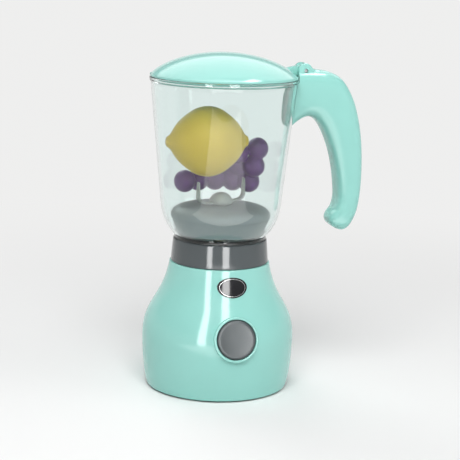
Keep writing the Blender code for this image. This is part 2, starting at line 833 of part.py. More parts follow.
def boss_webs(name, low, high):
    """Webs that carry the screw bosses, rooted in the middle of the bell's wall."""
    middle = inset(bell_outline(), BASE_WALL / 2)
    outline = [
        (BOSS_RING_RADIUS, low),
        (radius_at(middle, low), low),
        (radius_at(middle, high), high),
        (BOSS_RING_RADIUS, high),
    ]
    webs = []
    for index in range(4):
        web = slab(f"{name}_{index}", outline, -BOSS_WEB_WIDTH / 2, BOSS_WEB_WIDTH / 2)
        turn = Matrix.Rotation(math.radians(45) + FULL_TURN * index / 4, 4, "Z")
        web.matrix_world = turn @ web.matrix_world
        webs.append(web)
    return joined(name, webs)


def badge_layer(name, play, material=None):
    """An oval piece of the bell's skin: the badge itself, or with play the recess that it lies in."""
    outer = bell_outline()
    centre_z = PLATE_Z + BADGE_RISE
    reach = BADGE_HEIGHT / 2 + OVERRUN
    skin = [p for p in outer if centre_z - reach <= p[1] <= centre_z + reach]
    top, bottom = centre_z + reach, centre_z - reach
    skin = [(radius_at(outer, top), top)] + skin + [(radius_at(outer, bottom), bottom)]
    front = inset(skin, -(OVERRUN if play else BADGE_PROUD))
    back = inset(skin, BADGE_THICKNESS - BADGE_PROUD + play)
    layer = turned(name, front + back[::-1], material, FINE_STEPS)
    oval = ellipse(BADGE_WIDTH + 2 * play, BADGE_HEIGHT + 2 * play)
    window = slab(name + "_oval", [(x, z + centre_z) for x, z in oval], -2 * BASE_WIDEST_RADIUS, 0)
    return keep_inside(layer, window)


def make_base_plate():
    top_z = PLATE_Z + PLATE_THICKNESS
    edge = [(PLATE_RADIUS, top_z), (PLATE_RADIUS, PLATE_Z + BASE_EDGE), (PLATE_RADIUS - BASE_EDGE, PLATE_Z)]
    profile = [(0, top_z), *edge, (0, PLATE_Z)]
    plate = turned("base_plate", profile, MATERIALS["dark_grey"], FINE_STEPS, closed=False)
    x, y, roof = battery_box_inside()
    door_x0, door_x1, door_y = door_edges()
    door_top = PLATE_Z + DOOR_THICKNESS
    screw_x = door_screw_x()
    outer_x, outer_y = x + BOX_WALL, y + BOX_WALL
    below = PLATE_Z - OVERRUN
    walls = box("box_walls", (-outer_x, -outer_y, PLATE_Z + SEAM), (outer_x, outer_y, roof + BOX_WALL))
    boss = rod("door_boss", BOSS_RADIUS, top_z - SEAM, top_z + SCREW_BITE, centre=(screw_x, 0))
    room = box("box_room", (-x, -y, below), (x, y, roof))
    low, high = (door_x0 - GAP, -door_y - GAP, below), (door_x1 + GAP, door_y + GAP, door_top + GAP)
    recess = box("door_recess", low, high)
    slots = boxes("door_slots", [tab_box(side, GAP) for side in (1, -1)])
    hole_radius, sink_radius = SCREW_RADIUS + GAP, SCREW_HEAD_RADIUS + GAP
    door_pilot = rod("door_pilot", hole_radius, door_top, door_top + SCREW_BITE, centre=(screw_x, 0))
    screw_spots = ring_of(4, BOSS_RING_RADIUS, 45)
    holes = rods("plate_holes", screw_spots, hole_radius, PLATE_Z, top_z + OVERRUN)
    sinks = rods("plate_sinks", screw_spots, sink_radius, below, screw_sink_top())
    foot_spots = ring_of(4, FOOT_RING_RADIUS)
    foot_seats = rods(
        "foot_seats", foot_spots, FOOT_RADIUS + GAP, below, PLATE_Z + FOOT_SINK, steps=PLAIN_STEPS
    )
    fuse(plate, walls, boss)
    return cut(plate, room, recess, slots, door_pilot, holes, sinks, foot_seats)


def screw_sink_top():
    """The height of the step that a screw's head is drawn up against."""
    return PLATE_Z + SCREW_HEAD_THICKNESS + 2 * GAP


def battery_box_inside():
    """Half length, half width and roof height of the room for the two cells."""
    half_length = (CELL_LENGTH + CELL_NUB_LENGTH + BOX_END_SPACE) / 2
    roof = cell_height() + CELL_RADIUS + GAP
    return half_length, CELL_PITCH, roof


def cell_height():
    return PLATE_Z + DOOR_THICKNESS + GAP + CELL_RADIUS


def door_edges():
    x, y, _ = battery_box_inside()
    return -x - DOOR_MARGIN, x + DOOR_SCREW_END, y + DOOR_MARGIN


def door_screw_x():
    x, _, _ = battery_box_inside()
    return x + BOX_WALL + BOSS_RADIUS - SEAM


def tab_box(side, play):
    """A tab of the battery door, or with play its slot in the plate."""
    left, _, half = door_edges()
    middle = side * half / 2
    top = PLATE_Z + DOOR_THICKNESS
    low = (left - DOOR_TAB_REACH - play, middle - DOOR_TAB_WIDTH / 2 - play, top - DOOR_TAB_THICKNESS - play)
    high = (left + SEAM, middle + DOOR_TAB_WIDTH / 2 + play, top + play)
    return low, high


def make_battery_door():
    left, right, half = door_edges()
    top = PLATE_Z + DOOR_THICKNESS
    door = box("battery_door", (left, -half, PLATE_Z), (right, half, top), MATERIALS["dark_grey"])
    tabs = boxes("door_tabs", [tab_box(side, 0) for side in (1, -1)])
    spot = (door_screw_x(), 0)
    hole = rod("door_hole", SCREW_RADIUS + GAP, PLATE_Z, top + OVERRUN, centre=spot)
    sink = rod("door_sink", SCREW_HEAD_RADIUS + GAP, PLATE_Z - OVERRUN, screw_sink_top(), centre=spot)
    return cut(fuse(door, tabs), hole, sink)


def make_base_fasteners():
    up = (0, 0, 1)
    head_z = PLATE_Z + GAP
    steel = MATERIALS["steel"]
    screw("battery_door_screw", (door_screw_x(), 0, head_z), up, DOOR_THICKNESS + SCREW_BITE - 3 * GAP, steel)
    for index, (x, y) in enumerate(ring_of(4, BOSS_RING_RADIUS, 45), 1):
        screw(f"base_screw_{index}", (x, y, head_z), up, PLATE_THICKNESS + SCREW_BITE - GAP, steel)
    top = PLATE_Z + FOOT_SINK - GAP
    for index, spot in enumerate(ring_of(4, FOOT_RING_RADIUS), 1):
        rod(f"rubber_foot_{index}", FOOT_RADIUS, 0, top, MATERIALS["rubber"], PLAIN_STEPS, spot)


def cell_faces():
    """Along X, where the nub is at +X: the cell's flat end, its shoulder and its nub's tip."""
    half, _, _ = battery_box_inside()
    tip = half - 2 * GAP - CONTACT_THICKNESS - GAP
    shoulder = tip - CELL_NUB_LENGTH
    return shoulder - CELL_LENGTH, shoulder, tip


def make_batteries():
    flat, shoulder, tip = cell_faces()
    profile = [
        (0, tip),
        (CELL_NUB_RADIUS, tip),
        (CELL_NUB_RADIUS, shoulder),
        (CELL_RADIUS, shoulder),
        (CELL_RADIUS, flat),
        (0, flat),
    ]
    for name, side in (("battery_front", 1), ("battery_back", -1)):
        cell = turned(name, profile, MATERIALS["cell"], closed=False)
        cell.location = (0, -side * CELL_PITCH / 2, cell_height())
        cell.rotation_euler = (0, side * math.radians(90), 0)


def make_battery_contacts():
    """Two end plates where the leads start and a bridge plate at the other end; two carry a spring."""
    half, _, _ = battery_box_inside()
    outer = half - GAP
    inner = outer - CONTACT_THICKNESS
    reach = CONTACT_SIZE / 2
    low, high = cell_height() - reach, cell_height() + reach
    middle = CELL_PITCH / 2
    steel = MATERIALS["steel"]
    bridge = box("contact_bridge", (inner, -middle - reach, low), (outer, middle + reach, high), steel)
    front, back = (-middle - reach, -middle + reach), (middle - reach, middle + reach)
    spring_plate = box("contact_spring_plate", (-outer, front[0], low), (-inner, front[1], high), steel)
    box("contact_flat_plate", (-outer, back[0], low), (-inner, back[1], high), steel)
    fuse(bridge, contact_spring("bridge_spring", -1))
    fuse(spring_plate, contact_spring("plate_spring", 1))


def contact_spring(name, side):
    """A coil from the contact plate to the flat end of the cell whose nub points to side along X."""
    half, _, _ = battery_box_inside()
    flat, _, _ = cell_faces()
    start = -half + GAP + CONTACT_THICKNESS / 4 + SPRING_WIRE_RADIUS
    end = flat - GAP - SPRING_WIRE_RADIUS
    count = 8 * SPRING_TURNS
    points = []
    for index in range(count + 1):
        angle = FULL_TURN * SPRING_TURNS * index / count
        along = start + (end - start) * index / count
        across = SPRING_RADIUS * math.cos(angle) - side * CELL_PITCH / 2
        points.append((side * along, across, cell_height() + SPRING_RADIUS * math.sin(angle)))
    return tube(name, points, SPRING_WIRE_RADIUS)


def motor_profile(play=0.0):
    nose = MOTOR_NOSE_RADIUS
    back = MOTOR_TOP_Z - MOTOR_LENGTH
    return [
        (0, MOTOR_TOP_Z + MOTOR_NOSE_LENGTH),
        (nose, MOTOR_TOP_Z + MOTOR_NOSE_LENGTH),
        (nose, MOTOR_TOP_Z),
        (MOTOR_RADIUS - MOTOR_EDGE + play, MOTOR_TOP_Z),
        (MOTOR_RADIUS + play, MOTOR_TOP_Z - MOTOR_EDGE),
        (MOTOR_RADIUS + play, back),
        (MOTOR_CAP_RADIUS, back),
        (MOTOR_CAP_RADIUS, MOTOR_BOTTOM_Z),
        (0, MOTOR_BOTTOM_Z),
    ]


def make_motor():
    motor = turned("motor", motor_profile(), MATERIALS["steel"], PLAIN_STEPS, closed=False)
    wide, flat = MOTOR_RADIUS + OVERRUN, MOTOR_FLAT / 2
    flats = box("motor_flats", (-wide, -flat, MOTOR_BOTTOM_Z - OVERRUN), (wide, flat, DECK_Z + OVERRUN))
    bore = rod("motor_bore", MOTOR_SHAFT_RADIUS + GAP, MOTOR_TOP_Z - SHAFT_IN_MOTOR, DECK_Z + OVERRUN)
    half_width, half_thickness = TERMINAL_WIDTH / 2, TERMINAL_THICKNESS / 2
    terminals = boxes(
        "motor_terminals",
        [
            (
                (s * TERMINAL_OFFSET - half_thickness, -half_width, MOTOR_BOTTOM_Z - TERMINAL_LENGTH),
                (s * TERMINAL_OFFSET + half_thickness, half_width, MOTOR_BOTTOM_Z + SEAM),
            )
            for s in (1, -1)
        ],
    )
    cut(keep_inside(motor, flats), bore)
    fuse(motor, terminals)
    shaft_z = MOTOR_TOP_Z - SHAFT_IN_MOTOR + GAP
    rod("motor_shaft", MOTOR_SHAFT_RADIUS, shaft_z, DOG_TEETH_Z + DOG_HEIGHT, MATERIALS["steel"])


def make_motor_bracket():
    """A sleeve with a floor round the motor, and two ears screwed to the posts under the deck."""
    x = MOTOR_RADIUS + GAP
    y = MOTOR_FLAT / 2 + GAP
    bottom = MOTOR_BOTTOM_Z - GAP - BRACKET_WALL
    top = DECK_UNDER_Z - GAP
    bracket = box(
        "motor_bracket",
        (-x - BRACKET_WALL, -y - BRACKET_WALL, bottom),
        (x + BRACKET_WALL, y + BRACKET_WALL, top),
        MATERIALS["pale_grey"],
    )
    ear_top = DECK_UNDER_Z - BRACKET_POST_LENGTH - GAP
    ear_bottom = ear_top - BRACKET_EAR_THICKNESS
    ear_y = BRACKET_EAR_WIDTH / 2
    ear_in, ear_out = x + SEAM, x + BRACKET_WALL + BRACKET_EAR_REACH
    sides = ((ear_in, ear_out), (-ear_out, -ear_in))
    ears = boxes("bracket_ears", [((low, -ear_y, ear_bottom), (high, ear_y, ear_top)) for low, high in sides])
    room = rod("motor_room", x, MOTOR_BOTTOM_Z - GAP, top + OVERRUN, steps=PLAIN_STEPS)
    keep_inside(room, box("motor_room_flats", (-2 * x, -y, bottom), (2 * x, y, top + 2 * OVERRUN)))
    window_x = TERMINAL_OFFSET + TERMINAL_WIDTH
    window = box("terminal_window", (-window_x, -y / 2, bottom - OVERRUN), (window_x, y / 2, MOTOR_BOTTOM_Z))
    spots = [(BRACKET_POST_OFFSET, 0), (-BRACKET_POST_OFFSET, 0)]
    holes = rods("ear_holes", spots, SCREW_RADIUS + GAP, ear_bottom - OVERRUN, ear_top + OVERRUN)
    cut(fuse(bracket, ears), room, window, holes)
    head_z = ear_bottom - GAP - SCREW_HEAD_THICKNESS
    length = DECK_UNDER_Z - 2 * SEAM - head_z
    for index, (px, py) in enumerate(spots, 1):
        screw(f"bracket_screw_{index}", (px, py, head_z), (0, 0, 1), length, MATERIALS["steel"])


def make_drive_dog():
    dog = rod("drive_dog", DOG_PLATE_RADIUS, DOG_Z, DOG_TEETH_Z, MATERIALS["pale_grey"], PLAIN_STEPS)
    teeth = slab("dog_teeth", dog_outline(), DOG_TEETH_Z - SEAM, DOG_TEETH_Z + DOG_HEIGHT, flat=True)
    bore = rod("dog_bore", MOTOR_SHAFT_RADIUS + GAP, DOG_Z - OVERRUN, DOG_TEETH_Z + DOG_HEIGHT + OVERRUN)
    return cut(fuse(dog, teeth), bore)


def make_push_button():
    """A dished cap with a skirt, a flange that holds it in the bezel, and a stem down to the switch."""
    levels = button_levels()
    face = levels["face"]
    under = face - BUTTON_WALL - BUTTON_DISH
    skirt = BUTTON_RADIUS - BUTTON_WALL
    flange = BUTTON_RADIUS + BUTTON_FLANGE_REACH
    top, bottom = levels["flange_top"], levels["flange_bottom"]
    profile = [
        (0, face - BUTTON_DISH),
        (BUTTON_RADIUS / 2, face - BUTTON_DISH * DISH_MID_SHARE),
        (BUTTON_RADIUS - 2 * BUTTON_EDGE, face),
        (BUTTON_RADIUS - BUTTON_EDGE / 2, face - BUTTON_EDGE / 4),
        (BUTTON_RADIUS, face - BUTTON_EDGE),
        (BUTTON_RADIUS, top),
        (flange, top),
        (flange, bottom),
        (skirt, bottom),
        (skirt, under),
        (STEM_RADIUS, under),
        (STEM_RADIUS, levels["stem_end"]),
        (0, levels["stem_end"]),
    ]
    button = turned("push_button", profile, MATERIALS["button_grey"], PLAIN_STEPS, closed=False)
    low, high = levels["plunger_bottom"], levels["plunger_top"]
    plunger = rod("switch_plunger", PLUNGER_RADIUS, low, high, MATERIALS["rubber"])
    half = SWITCH_SIZE / 2
    switch = box(
        "button_switch",
        (-half, -half, levels["switch_bottom"]),
        (half, half, levels["switch_top"]),
        MATERIALS["black"],
    )
    bore = rod("switch_bore", PLUNGER_RADIUS + GAP, levels["switch_bore"], levels["switch_top"] + OVERRUN)
    near, far = board_post_x()
    board = box(
        "switch_board",
        (-far, -BOARD_HEIGHT / 2, levels["board_bottom"]),
        (far, BOARD_HEIGHT / 2, levels["board_top"]),
        MATERIALS["board"],
    )
    middle = (near + far) / 2
    spots = [(middle, 0), (-middle, 0)]
    low, high = levels["board_bottom"] - OVERRUN, levels["board_top"] + OVERRUN
    holes = rods("board_holes", spots, BOARD_SCREW_RADIUS + GAP, low, high)
    head_z = levels["board_bottom"] - GAP - SCREW_HEAD_THICKNESS
    length = SCREW_HEAD_THICKNESS + BOARD_THICKNESS + BOARD_SCREW_BITE
    sizes = (length, MATERIALS["steel"], BOARD_SCREW_RADIUS, BOARD_SCREW_HEAD_RADIUS)
    board_screws = []
    for index, (x, y) in enumerate(spots, 1):
        board_screws.append(screw(f"board_screw_{index}", (x, y, head_z), (0, 0, 1), *sizes))
    cut(switch, bore)
    cut(board, holes)
    hang_on(BUTTON_AXIS, button, plunger, switch, bore, board, holes, *board_screws)


def make_wiring():
    """Three leads, each on a smooth curve between its ends."""
    half, _, roof = battery_box_inside()
    levels = button_levels()
    board_back = button_frame() @ Vector((0, 0, levels["board_bottom"] - GAP))
    out = button_frame().to_3x3() @ Vector((0, 0, -1))
    lift = roof + BOX_WALL + GAP
    terminal_z = MOTOR_BOTTOM_Z - TERMINAL_LENGTH - GAP
    up, down = Vector((0, 0, 1)), Vector((0, 0, -1))
    spread = SWITCH_SIZE / 2
    side_step = Vector((spread, 0, 0))
    front = Vector((-half + BOX_WALL, -CELL_PITCH / 2, lift))
    back = Vector((-half + BOX_WALL, CELL_PITCH / 2, lift))
    right, left = Vector((TERMINAL_OFFSET, 0, terminal_z)), Vector((-TERMINAL_OFFSET, 0, terminal_z))
    runs = (
        ("lead_cell_to_switch", front, up, board_back - side_step, out),
        ("lead_switch_to_motor", board_back + side_step, out, right, down),
        ("lead_cell_to_motor", back, up, left, down),
    )
    for name, start, leave, end, arrive in runs:
        pull = (end - start).length / 3
        corners = (start, start + leave * pull, end + arrive * pull, end)
        points = []
        for index in range(9):
            t = index / 8
            weights = ((1 - t) ** 3, 3 * (1 - t) ** 2 * t, 3 * (1 - t) * t * t, t**3)
            points.append(sum((w * c for w, c in zip(weights, corners)), Vector()))
        tube(name, points, LEAD_RADIUS, MATERIALS["black"])


# Jar and what it carries


def make_jar():
    outer = jar_outline()
    rim = JAR_TOP_RADIUS + JAR_RIM_REACH
    rim_low = JAR_TOP_Z - JAR_RIM_HEIGHT
    head = [
        (rim - JAR_RIM_EDGE, JAR_TOP_Z),
        (rim, JAR_TOP_Z - JAR_RIM_EDGE),
        (rim, rim_low),
    ]
    neck_in = JAR_NECK_RADIUS - JAR_WALL
    neck = [(JAR_NECK_RADIUS, JAR_FOOT_Z), (JAR_NECK_RADIUS, JAR_NECK_Z)]
    neck += [(neck_in, JAR_NECK_Z), (neck_in, JAR_FOOT_Z)]
    inner = inset(outer, JAR_WALL)
    mouth = (JAR_TOP_RADIUS - JAR_WALL, JAR_TOP_Z)
    jar = turned("jar", head + outer + neck + inner[::-1] + [mouth], MATERIALS["clear"], FINE_STEPS)
    top_z = JAR_TOP_Z - RAIL_DROP
    return fuse(jar, rail_block("handle_rail", top_z - RAIL_HEIGHT, top_z, 0))


def rail_block(name, low_z, high_z, play):
    """The rail on the jar that the handle's halves clamp, or with play the pocket for it."""
    root = JAR_WALL / 2
    tip = jar_radius(high_z) + RAIL_REACH + play
    outline = [
        (jar_radius(low_z, root), low_z - play),
        (tip, low_z - play),
        (tip, high_z + play),
        (jar_radius(high_z, root), high_z + play),
    ]
    half = RAIL_WIDTH / 2 + play
    return slab(name, outline, -half, half)


def make_collar():
    spigot = WELL_RADIUS - GAP
    neck = JAR_NECK_RADIUS + GAP
    bore = bush_radius() + GAP
    web_top = WEB_Z + WEB_THICKNESS
    low = COLLAR_Z - SPIGOT_LENGTH
    profile = [
        (COLLAR_TOP_RADIUS - COLLAR_EDGE, COLLAR_TOP_Z),
        (COLLAR_TOP_RADIUS, COLLAR_TOP_Z - COLLAR_EDGE),
        (COLLAR_BOTTOM_RADIUS, COLLAR_Z + COLLAR_EDGE),
        (COLLAR_BOTTOM_RADIUS - COLLAR_EDGE, COLLAR_Z),
        (spigot, COLLAR_Z),
        (spigot, low),
        (spigot - SPIGOT_WALL, low),
        (spigot - SPIGOT_WALL, WEB_Z),
        (HUB_RADIUS, WEB_Z),
        (HUB_RADIUS, HUB_Z),
        (bore, HUB_Z),
        (bore, HUB_TOP_Z),
        (HUB_RADIUS, HUB_TOP_Z),
        (HUB_RADIUS, web_top),
        (neck, web_top),
        (neck, COLLAR_TOP_Z),
    ]
    return turned("jar_collar", profile, MATERIALS["dark_grey"], FINE_STEPS)


def bush_radius():
    return BLADE_SHAFT_RADIUS + GAP + BUSH_WALL


def make_bush():
    inner, outer = BLADE_SHAFT_RADIUS + GAP, bush_radius()
    profile = [
        (BUSH_FLANGE_RADIUS, BUSH_TOP_Z),
        (BUSH_FLANGE_RADIUS, HUB_TOP_Z + GAP),
        (outer, HUB_TOP_Z + GAP),
        (outer, HUB_Z),
        (inner, HUB_Z),
        (inner, BUSH_TOP_Z),
    ]
    return turned("shaft_bush", profile, MATERIALS["brass"], PLAIN_STEPS)


def make_blade_seat():
    """A dome that rests on the bowl, and the flanged sleeve that stands in its hole and guides the shaft."""
    foot = jar_radius(SEAT_Z, JAR_WALL) - GAP
    crown_z = SEAT_TOP_Z - SEAT_CROWN_DROP
    shoulder_z = SEAT_Z + SEAT_SHOULDER_RISE
    shoulder = jar_radius(shoulder_z, JAR_WALL) - SEAT_SHOULDER_INSET
    bore, hole = BLADE_SHAFT_RADIUS + RUN_GAP, SLEEVE_RADIUS + GAP
    crest = shoulder * SEAT_CREST_SHARE
    over_shoulder = (shoulder, shoulder_z + SEAT_SHOULDER_INSET)
    dome = bezier((SEAT_CROWN_RADIUS, crown_z), (crest, crown_z), over_shoulder, (shoulder, shoulder_z), 5)
    outer = [(hole, SEAT_TOP_Z)] + dome + [(foot, SEAT_Z + SEAT_WALL), (foot, SEAT_Z)]
    under_z = crown_z - SEAT_WALL
    inner = [
        (foot - SEAT_WALL, SEAT_Z),
        (shoulder - SEAT_WALL, shoulder_z),
        (crest - SEAT_WALL, under_z),
        (hole, under_z),
    ]
    turned("blade_seat", outer + inner, MATERIALS["mid_grey"], FINE_STEPS)

    low_z, flange_z = BUSH_TOP_Z + GAP, under_z - GAP
    flange = SLEEVE_RADIUS + SLEEVE_FLANGE_REACH
    profile = [
        (SLEEVE_RADIUS, SEAT_TOP_Z),
        (SLEEVE_RADIUS, flange_z),
        (flange, flange_z),
        (flange, flange_z - SLEEVE_FLANGE_THICKNESS),
        (SLEEVE_RADIUS, flange_z - SLEEVE_FLANGE_THICKNESS),
        (SLEEVE_RADIUS, low_z),
        (bore, low_z),
        (bore, SEAT_TOP_Z),
    ]
    turned("seat_sleeve", profile, MATERIALS["mid_grey"], FINE_STEPS)


def make_blades():
    """The steel shaft, the female half of the clutch under it and the moulded blades on top."""
    shaft_top = BLADE_Z + BLADE_HUB_HEIGHT
    rod("blade_shaft", BLADE_SHAFT_RADIUS, COUPLER_FLOOR_Z + 2 * GAP, shaft_top - GAP, MATERIALS["steel"])

    grey = MATERIALS["pale_grey"]
    coupler = rod("blade_coupler", COUPLER_RADIUS, COUPLER_Z, COUPLER_TOP_Z, grey, PLAIN_STEPS)
    socket = slab("dog_socket", dog_outline(DOG_PLAY), COUPLER_Z - OVERRUN, COUPLER_FLOOR_Z, flat=True)
    bore_z = COUPLER_FLOOR_Z + GAP
    coupler_bore = rod("coupler_bore", BLADE_SHAFT_RADIUS + GAP, bore_z, COUPLER_TOP_Z + OVERRUN)
    cut(coupler, socket, coupler_bore)

    bore = BLADE_SHAFT_RADIUS + GAP
    collar_z = BLADE_Z + BLADE_COLLAR_RISE
    tip_z = BLADE_Z + BLADE_HEIGHT
    profile = [
        (0, tip_z),
        (BLADE_TIP_RADIUS, tip_z - BLADE_TIP_RADIUS),
        (BLADE_POST_RADIUS, collar_z + BLADE_COLLAR_THICKNESS),
        (BLADE_COLLAR_RADIUS, collar_z + BLADE_COLLAR_THICKNESS),
        (BLADE_COLLAR_RADIUS, collar_z),
        (BLADE_POST_RADIUS, collar_z - BLADE_COLLAR_THICKNESS),
        (BLADE_POST_RADIUS, shaft_top + SEAM),
        (BLADE_HUB_RADIUS * HUB_CREST_SHARE, shaft_top - SEAM),
        (BLADE_HUB_RADIUS, BLADE_Z + BLADE_HUB_HEIGHT / 2),
        (BLADE_HUB_RADIUS, BLADE_Z),
        (bore, BLADE_Z),
        (bore, shaft_top),
        (0, shaft_top),
    ]
    blades = turned("blade_set", profile, MATERIALS["mid_grey"], PLAIN_STEPS, closed=False)
    low = BLADE_Z + BLADE_THICKNESS / 2
    bend, reach, thick = LOWER_BLADE_BEND, LOWER_BLADE_REACH, BLADE_THICKNESS
    tip = low + LOWER_BLADE_RISE
    corner = (reach - bend, low + bend)
    outline = [(BLADE_HUB_RADIUS / 2, low)]
    outline += arc(corner, bend, -90, 0, 4)
    outline += [(reach, tip), (reach - thick, tip - bend)]
    outline += arc(corner, bend - thick, 0, -90, 4)
    outline += [(BLADE_HUB_RADIUS / 2, low + thick)]
    lower = pair_of_blades("lower_blades", outline, BLADE_WIDTH, BLADE_TURN)
    root_z = collar_z + BLADE_COLLAR_THICKNESS / 2
    upper_outline = [
        (BLADE_TIP_RADIUS, root_z - thick / 2),
        (UPPER_BLADE_REACH, root_z + UPPER_BLADE_LIFT - thick / 2),
        (UPPER_BLADE_REACH - thick, root_z + UPPER_BLADE_LIFT + thick / 2),
        (BLADE_TIP_RADIUS, root_z + thick / 2),
    ]
    upper = pair_of_blades("upper_blades", upper_outline, UPPER_BLADE_WIDTH, BLADE_TURN + 90)
    fuse(blades, lower, upper)


def pair_of_blades(name, outline, width, turn):
    """Two blades opposite each other, turned about Z by an angle in degrees."""
    blades = []
    for side in (0, 180):
        blade = slab(name + "_blade", outline, -width / 2, width / 2)
        blade.matrix_world = Matrix.Rotation(math.radians(turn + side), 4, "Z") @ blade.matrix_world
        blades.append(blade)
    return joined(name, blades)


# Handle and lid


def handle_point(across, along):
    """The (x, z) of a spot given as shares of the handle's box."""
    return JAR_SHOULDER_RADIUS + across * HANDLE_SPAN, HANDLE_Z + along * HANDLE_DROP


def handle_body(name, material):
    """The whole hook, both halves: squarish oval sections that stand on its ribs."""
    count = 14
    points = []
    for inner_x, inner_z, outer_x, outer_z, thickness in smooth_through(HANDLE_RIB_SHARES, 2):
        x0, z0 = handle_point(inner_x, inner_z)
        x1, z1 = handle_point(outer_x, outer_z)
        for index in range(count):
            angle = FULL_TURN * (index + 1 / 2) / count
            across, out = math.cos(angle), math.sin(angle)
            across = math.copysign(abs(across) ** (2 / HANDLE_SQUARENESS), across)
            out = math.copysign(abs(out) ** (2 / HANDLE_SQUARENESS), out)
            share = (1 + across) / 2
            y = out * thickness * HANDLE_THICKNESS / 2
            points.append((x0 + (x1 - x0) * share, y, z0 + (z1 - z0) * share))
    return add_object(name, lofted(name, points, count), material)


def handle_clearance(name):
    """Everything inside the jar's and the lid's outer faces, which the handle stands clear of."""
    outer = jar_outline()
    rim = max(JAR_TOP_RADIUS + JAR_RIM_REACH, LID_RADIUS) + 2 * GAP
    top = LID_Z + HANDLE_CREST + 2 * OVERRUN
    side = [(radius + GAP, height) for radius, height in outer if height > JAR_SHOULDER_Z - OVERRUN]
    rim_low = JAR_TOP_Z - JAR_RIM_HEIGHT - GAP
    profile = [(0, top), (rim, top), (rim, rim_low)] + side + [(0, side[-1][1])]
    return turned(name, profile, steps=FINE_STEPS, closed=False)


def knuckle_outline():
    """A round hump over the pin with a fillet down to the handle's crest."""
    crest = HANDLE_Z + HANDLE_DROP
    hump = arc((HINGE_REACH, HINGE_Z), KNUCKLE_RADIUS, 180, 35, 8)
    foot = HINGE_REACH + KNUCKLE_RADIUS + KNUCKLE_FILLET
    base = HINGE_Z - 2 * KNUCKLE_RADIUS
    return hump + [
        (foot - KNUCKLE_FILLET / 2, crest + GAP),
        (foot, crest - 2 * GAP),
        (foot, base),
        (HINGE_REACH - KNUCKLE_RADIUS, base),
    ]


def handle_screw_spots():
    return [handle_point(*share) for share in HANDLE_SCREW_SHARES]


def make_handle_half(name, side):
    """The front half has side -1, and the back half, which takes the screws' heads, side 1."""
    half = HANDLE_THICKNESS / 2
    handle = handle_body(name, MATERIALS["aqua"])
    low_x, high_x = JAR_SHOULDER_RADIUS - OVERRUN, HANDLE_REACH + OVERRUN
    low_z, high_z = HANDLE_Z - OVERRUN, HANDLE_Z + HANDLE_DROP + 2 * KNUCKLE_RADIUS
    near, far = -OVERRUN - half, GAP / 2
    other = ((low_x, near if side > 0 else -far, low_z), (high_x, far if side > 0 else -near, high_z))
    inner, outer = knuckle_sides()
    slot = box(
        name + "_tongue_slot",
        (low_x, -inner, HINGE_Z - TONGUE_RADIUS - RUN_GAP),
        (HINGE_REACH + TONGUE_RADIUS + RUN_GAP, inner, high_z),
    )
    knuckle = slab(name + "_knuckle", knuckle_outline(), *sorted((side * (inner - SEAM), side * outer)))
    top_z = JAR_TOP_Z - RAIL_DROP
    pocket = rail_block(name + "_rail_pocket", top_z - RAIL_HEIGHT, top_z, GAP)
    pin_hole = across_rod(name + "_pin_hole", PIN_RADIUS + GAP, (HINGE_REACH, HINGE_Z), -half, half)
    fuse(handle, knuckle)
    inside = handle_clearance(name + "_jar_clearance")
    cut(handle, slot, inside, box(name + "_other_half", *other), pocket, pin_hole)
    for index, spot in enumerate(handle_screw_spots()):
        if side > 0:
            hole = across_rod(f"{name}_screw_hole_{index}", SCREW_RADIUS + GAP, spot, -half, half)
            sink = across_rod(
                f"{name}_screw_sink_{index}",
                SCREW_HEAD_RADIUS + 2 * GAP,
                spot,
                half - HANDLE_SCREW_RECESS - SCREW_HEAD_THICKNESS,
                half + OVERRUN,
            )
            cut(handle, hole, sink)
        else:
            reach = HANDLE_SCREW_EMBED + GAP
            cut(handle, across_rod(f"{name}_pilot_{index}", SCREW_RADIUS + GAP, spot, -reach, OVERRUN))
    return handle


def across_rod(name, radius, spot, low, high, material=None):
    """A cylinder along Y through an (x, z) spot."""
    piece = rod(name, radius, low, high, material)
    turn = Matrix.Translation((spot[0], 0, spot[1])) @ Matrix.Rotation(math.radians(-90), 4, "X")
    piece.data.transform(turn)
    return piece


def make_handle_fasteners():
    face = HANDLE_THICKNESS / 2 - HANDLE_SCREW_RECESS - SCREW_HEAD_THICKNESS + GAP
    heads = [(x, face + SCREW_HEAD_THICKNESS, z) for x, z in handle_screw_spots()]
    length = face + SCREW_HEAD_THICKNESS + HANDLE_SCREW_EMBED
    for index, head in enumerate(heads, 1):
        screw(f"handle_screw_{index}", head, (0, -1, 0), length, MATERIALS["steel"])
    half = knuckle_sides()[1] - GAP
    across_rod("hinge_pin", PIN_RADIUS, (HINGE_REACH, HINGE_Z), -half, half, MATERIALS["steel"])


def knuckle_sides():
    """How far a knuckle's inner and outer faces are from the middle, where the lid's tongue turns."""
    inner = TONGUE_WIDTH / 2 + RUN_GAP / 2
    return inner, inner + KNUCKLE_WIDTH


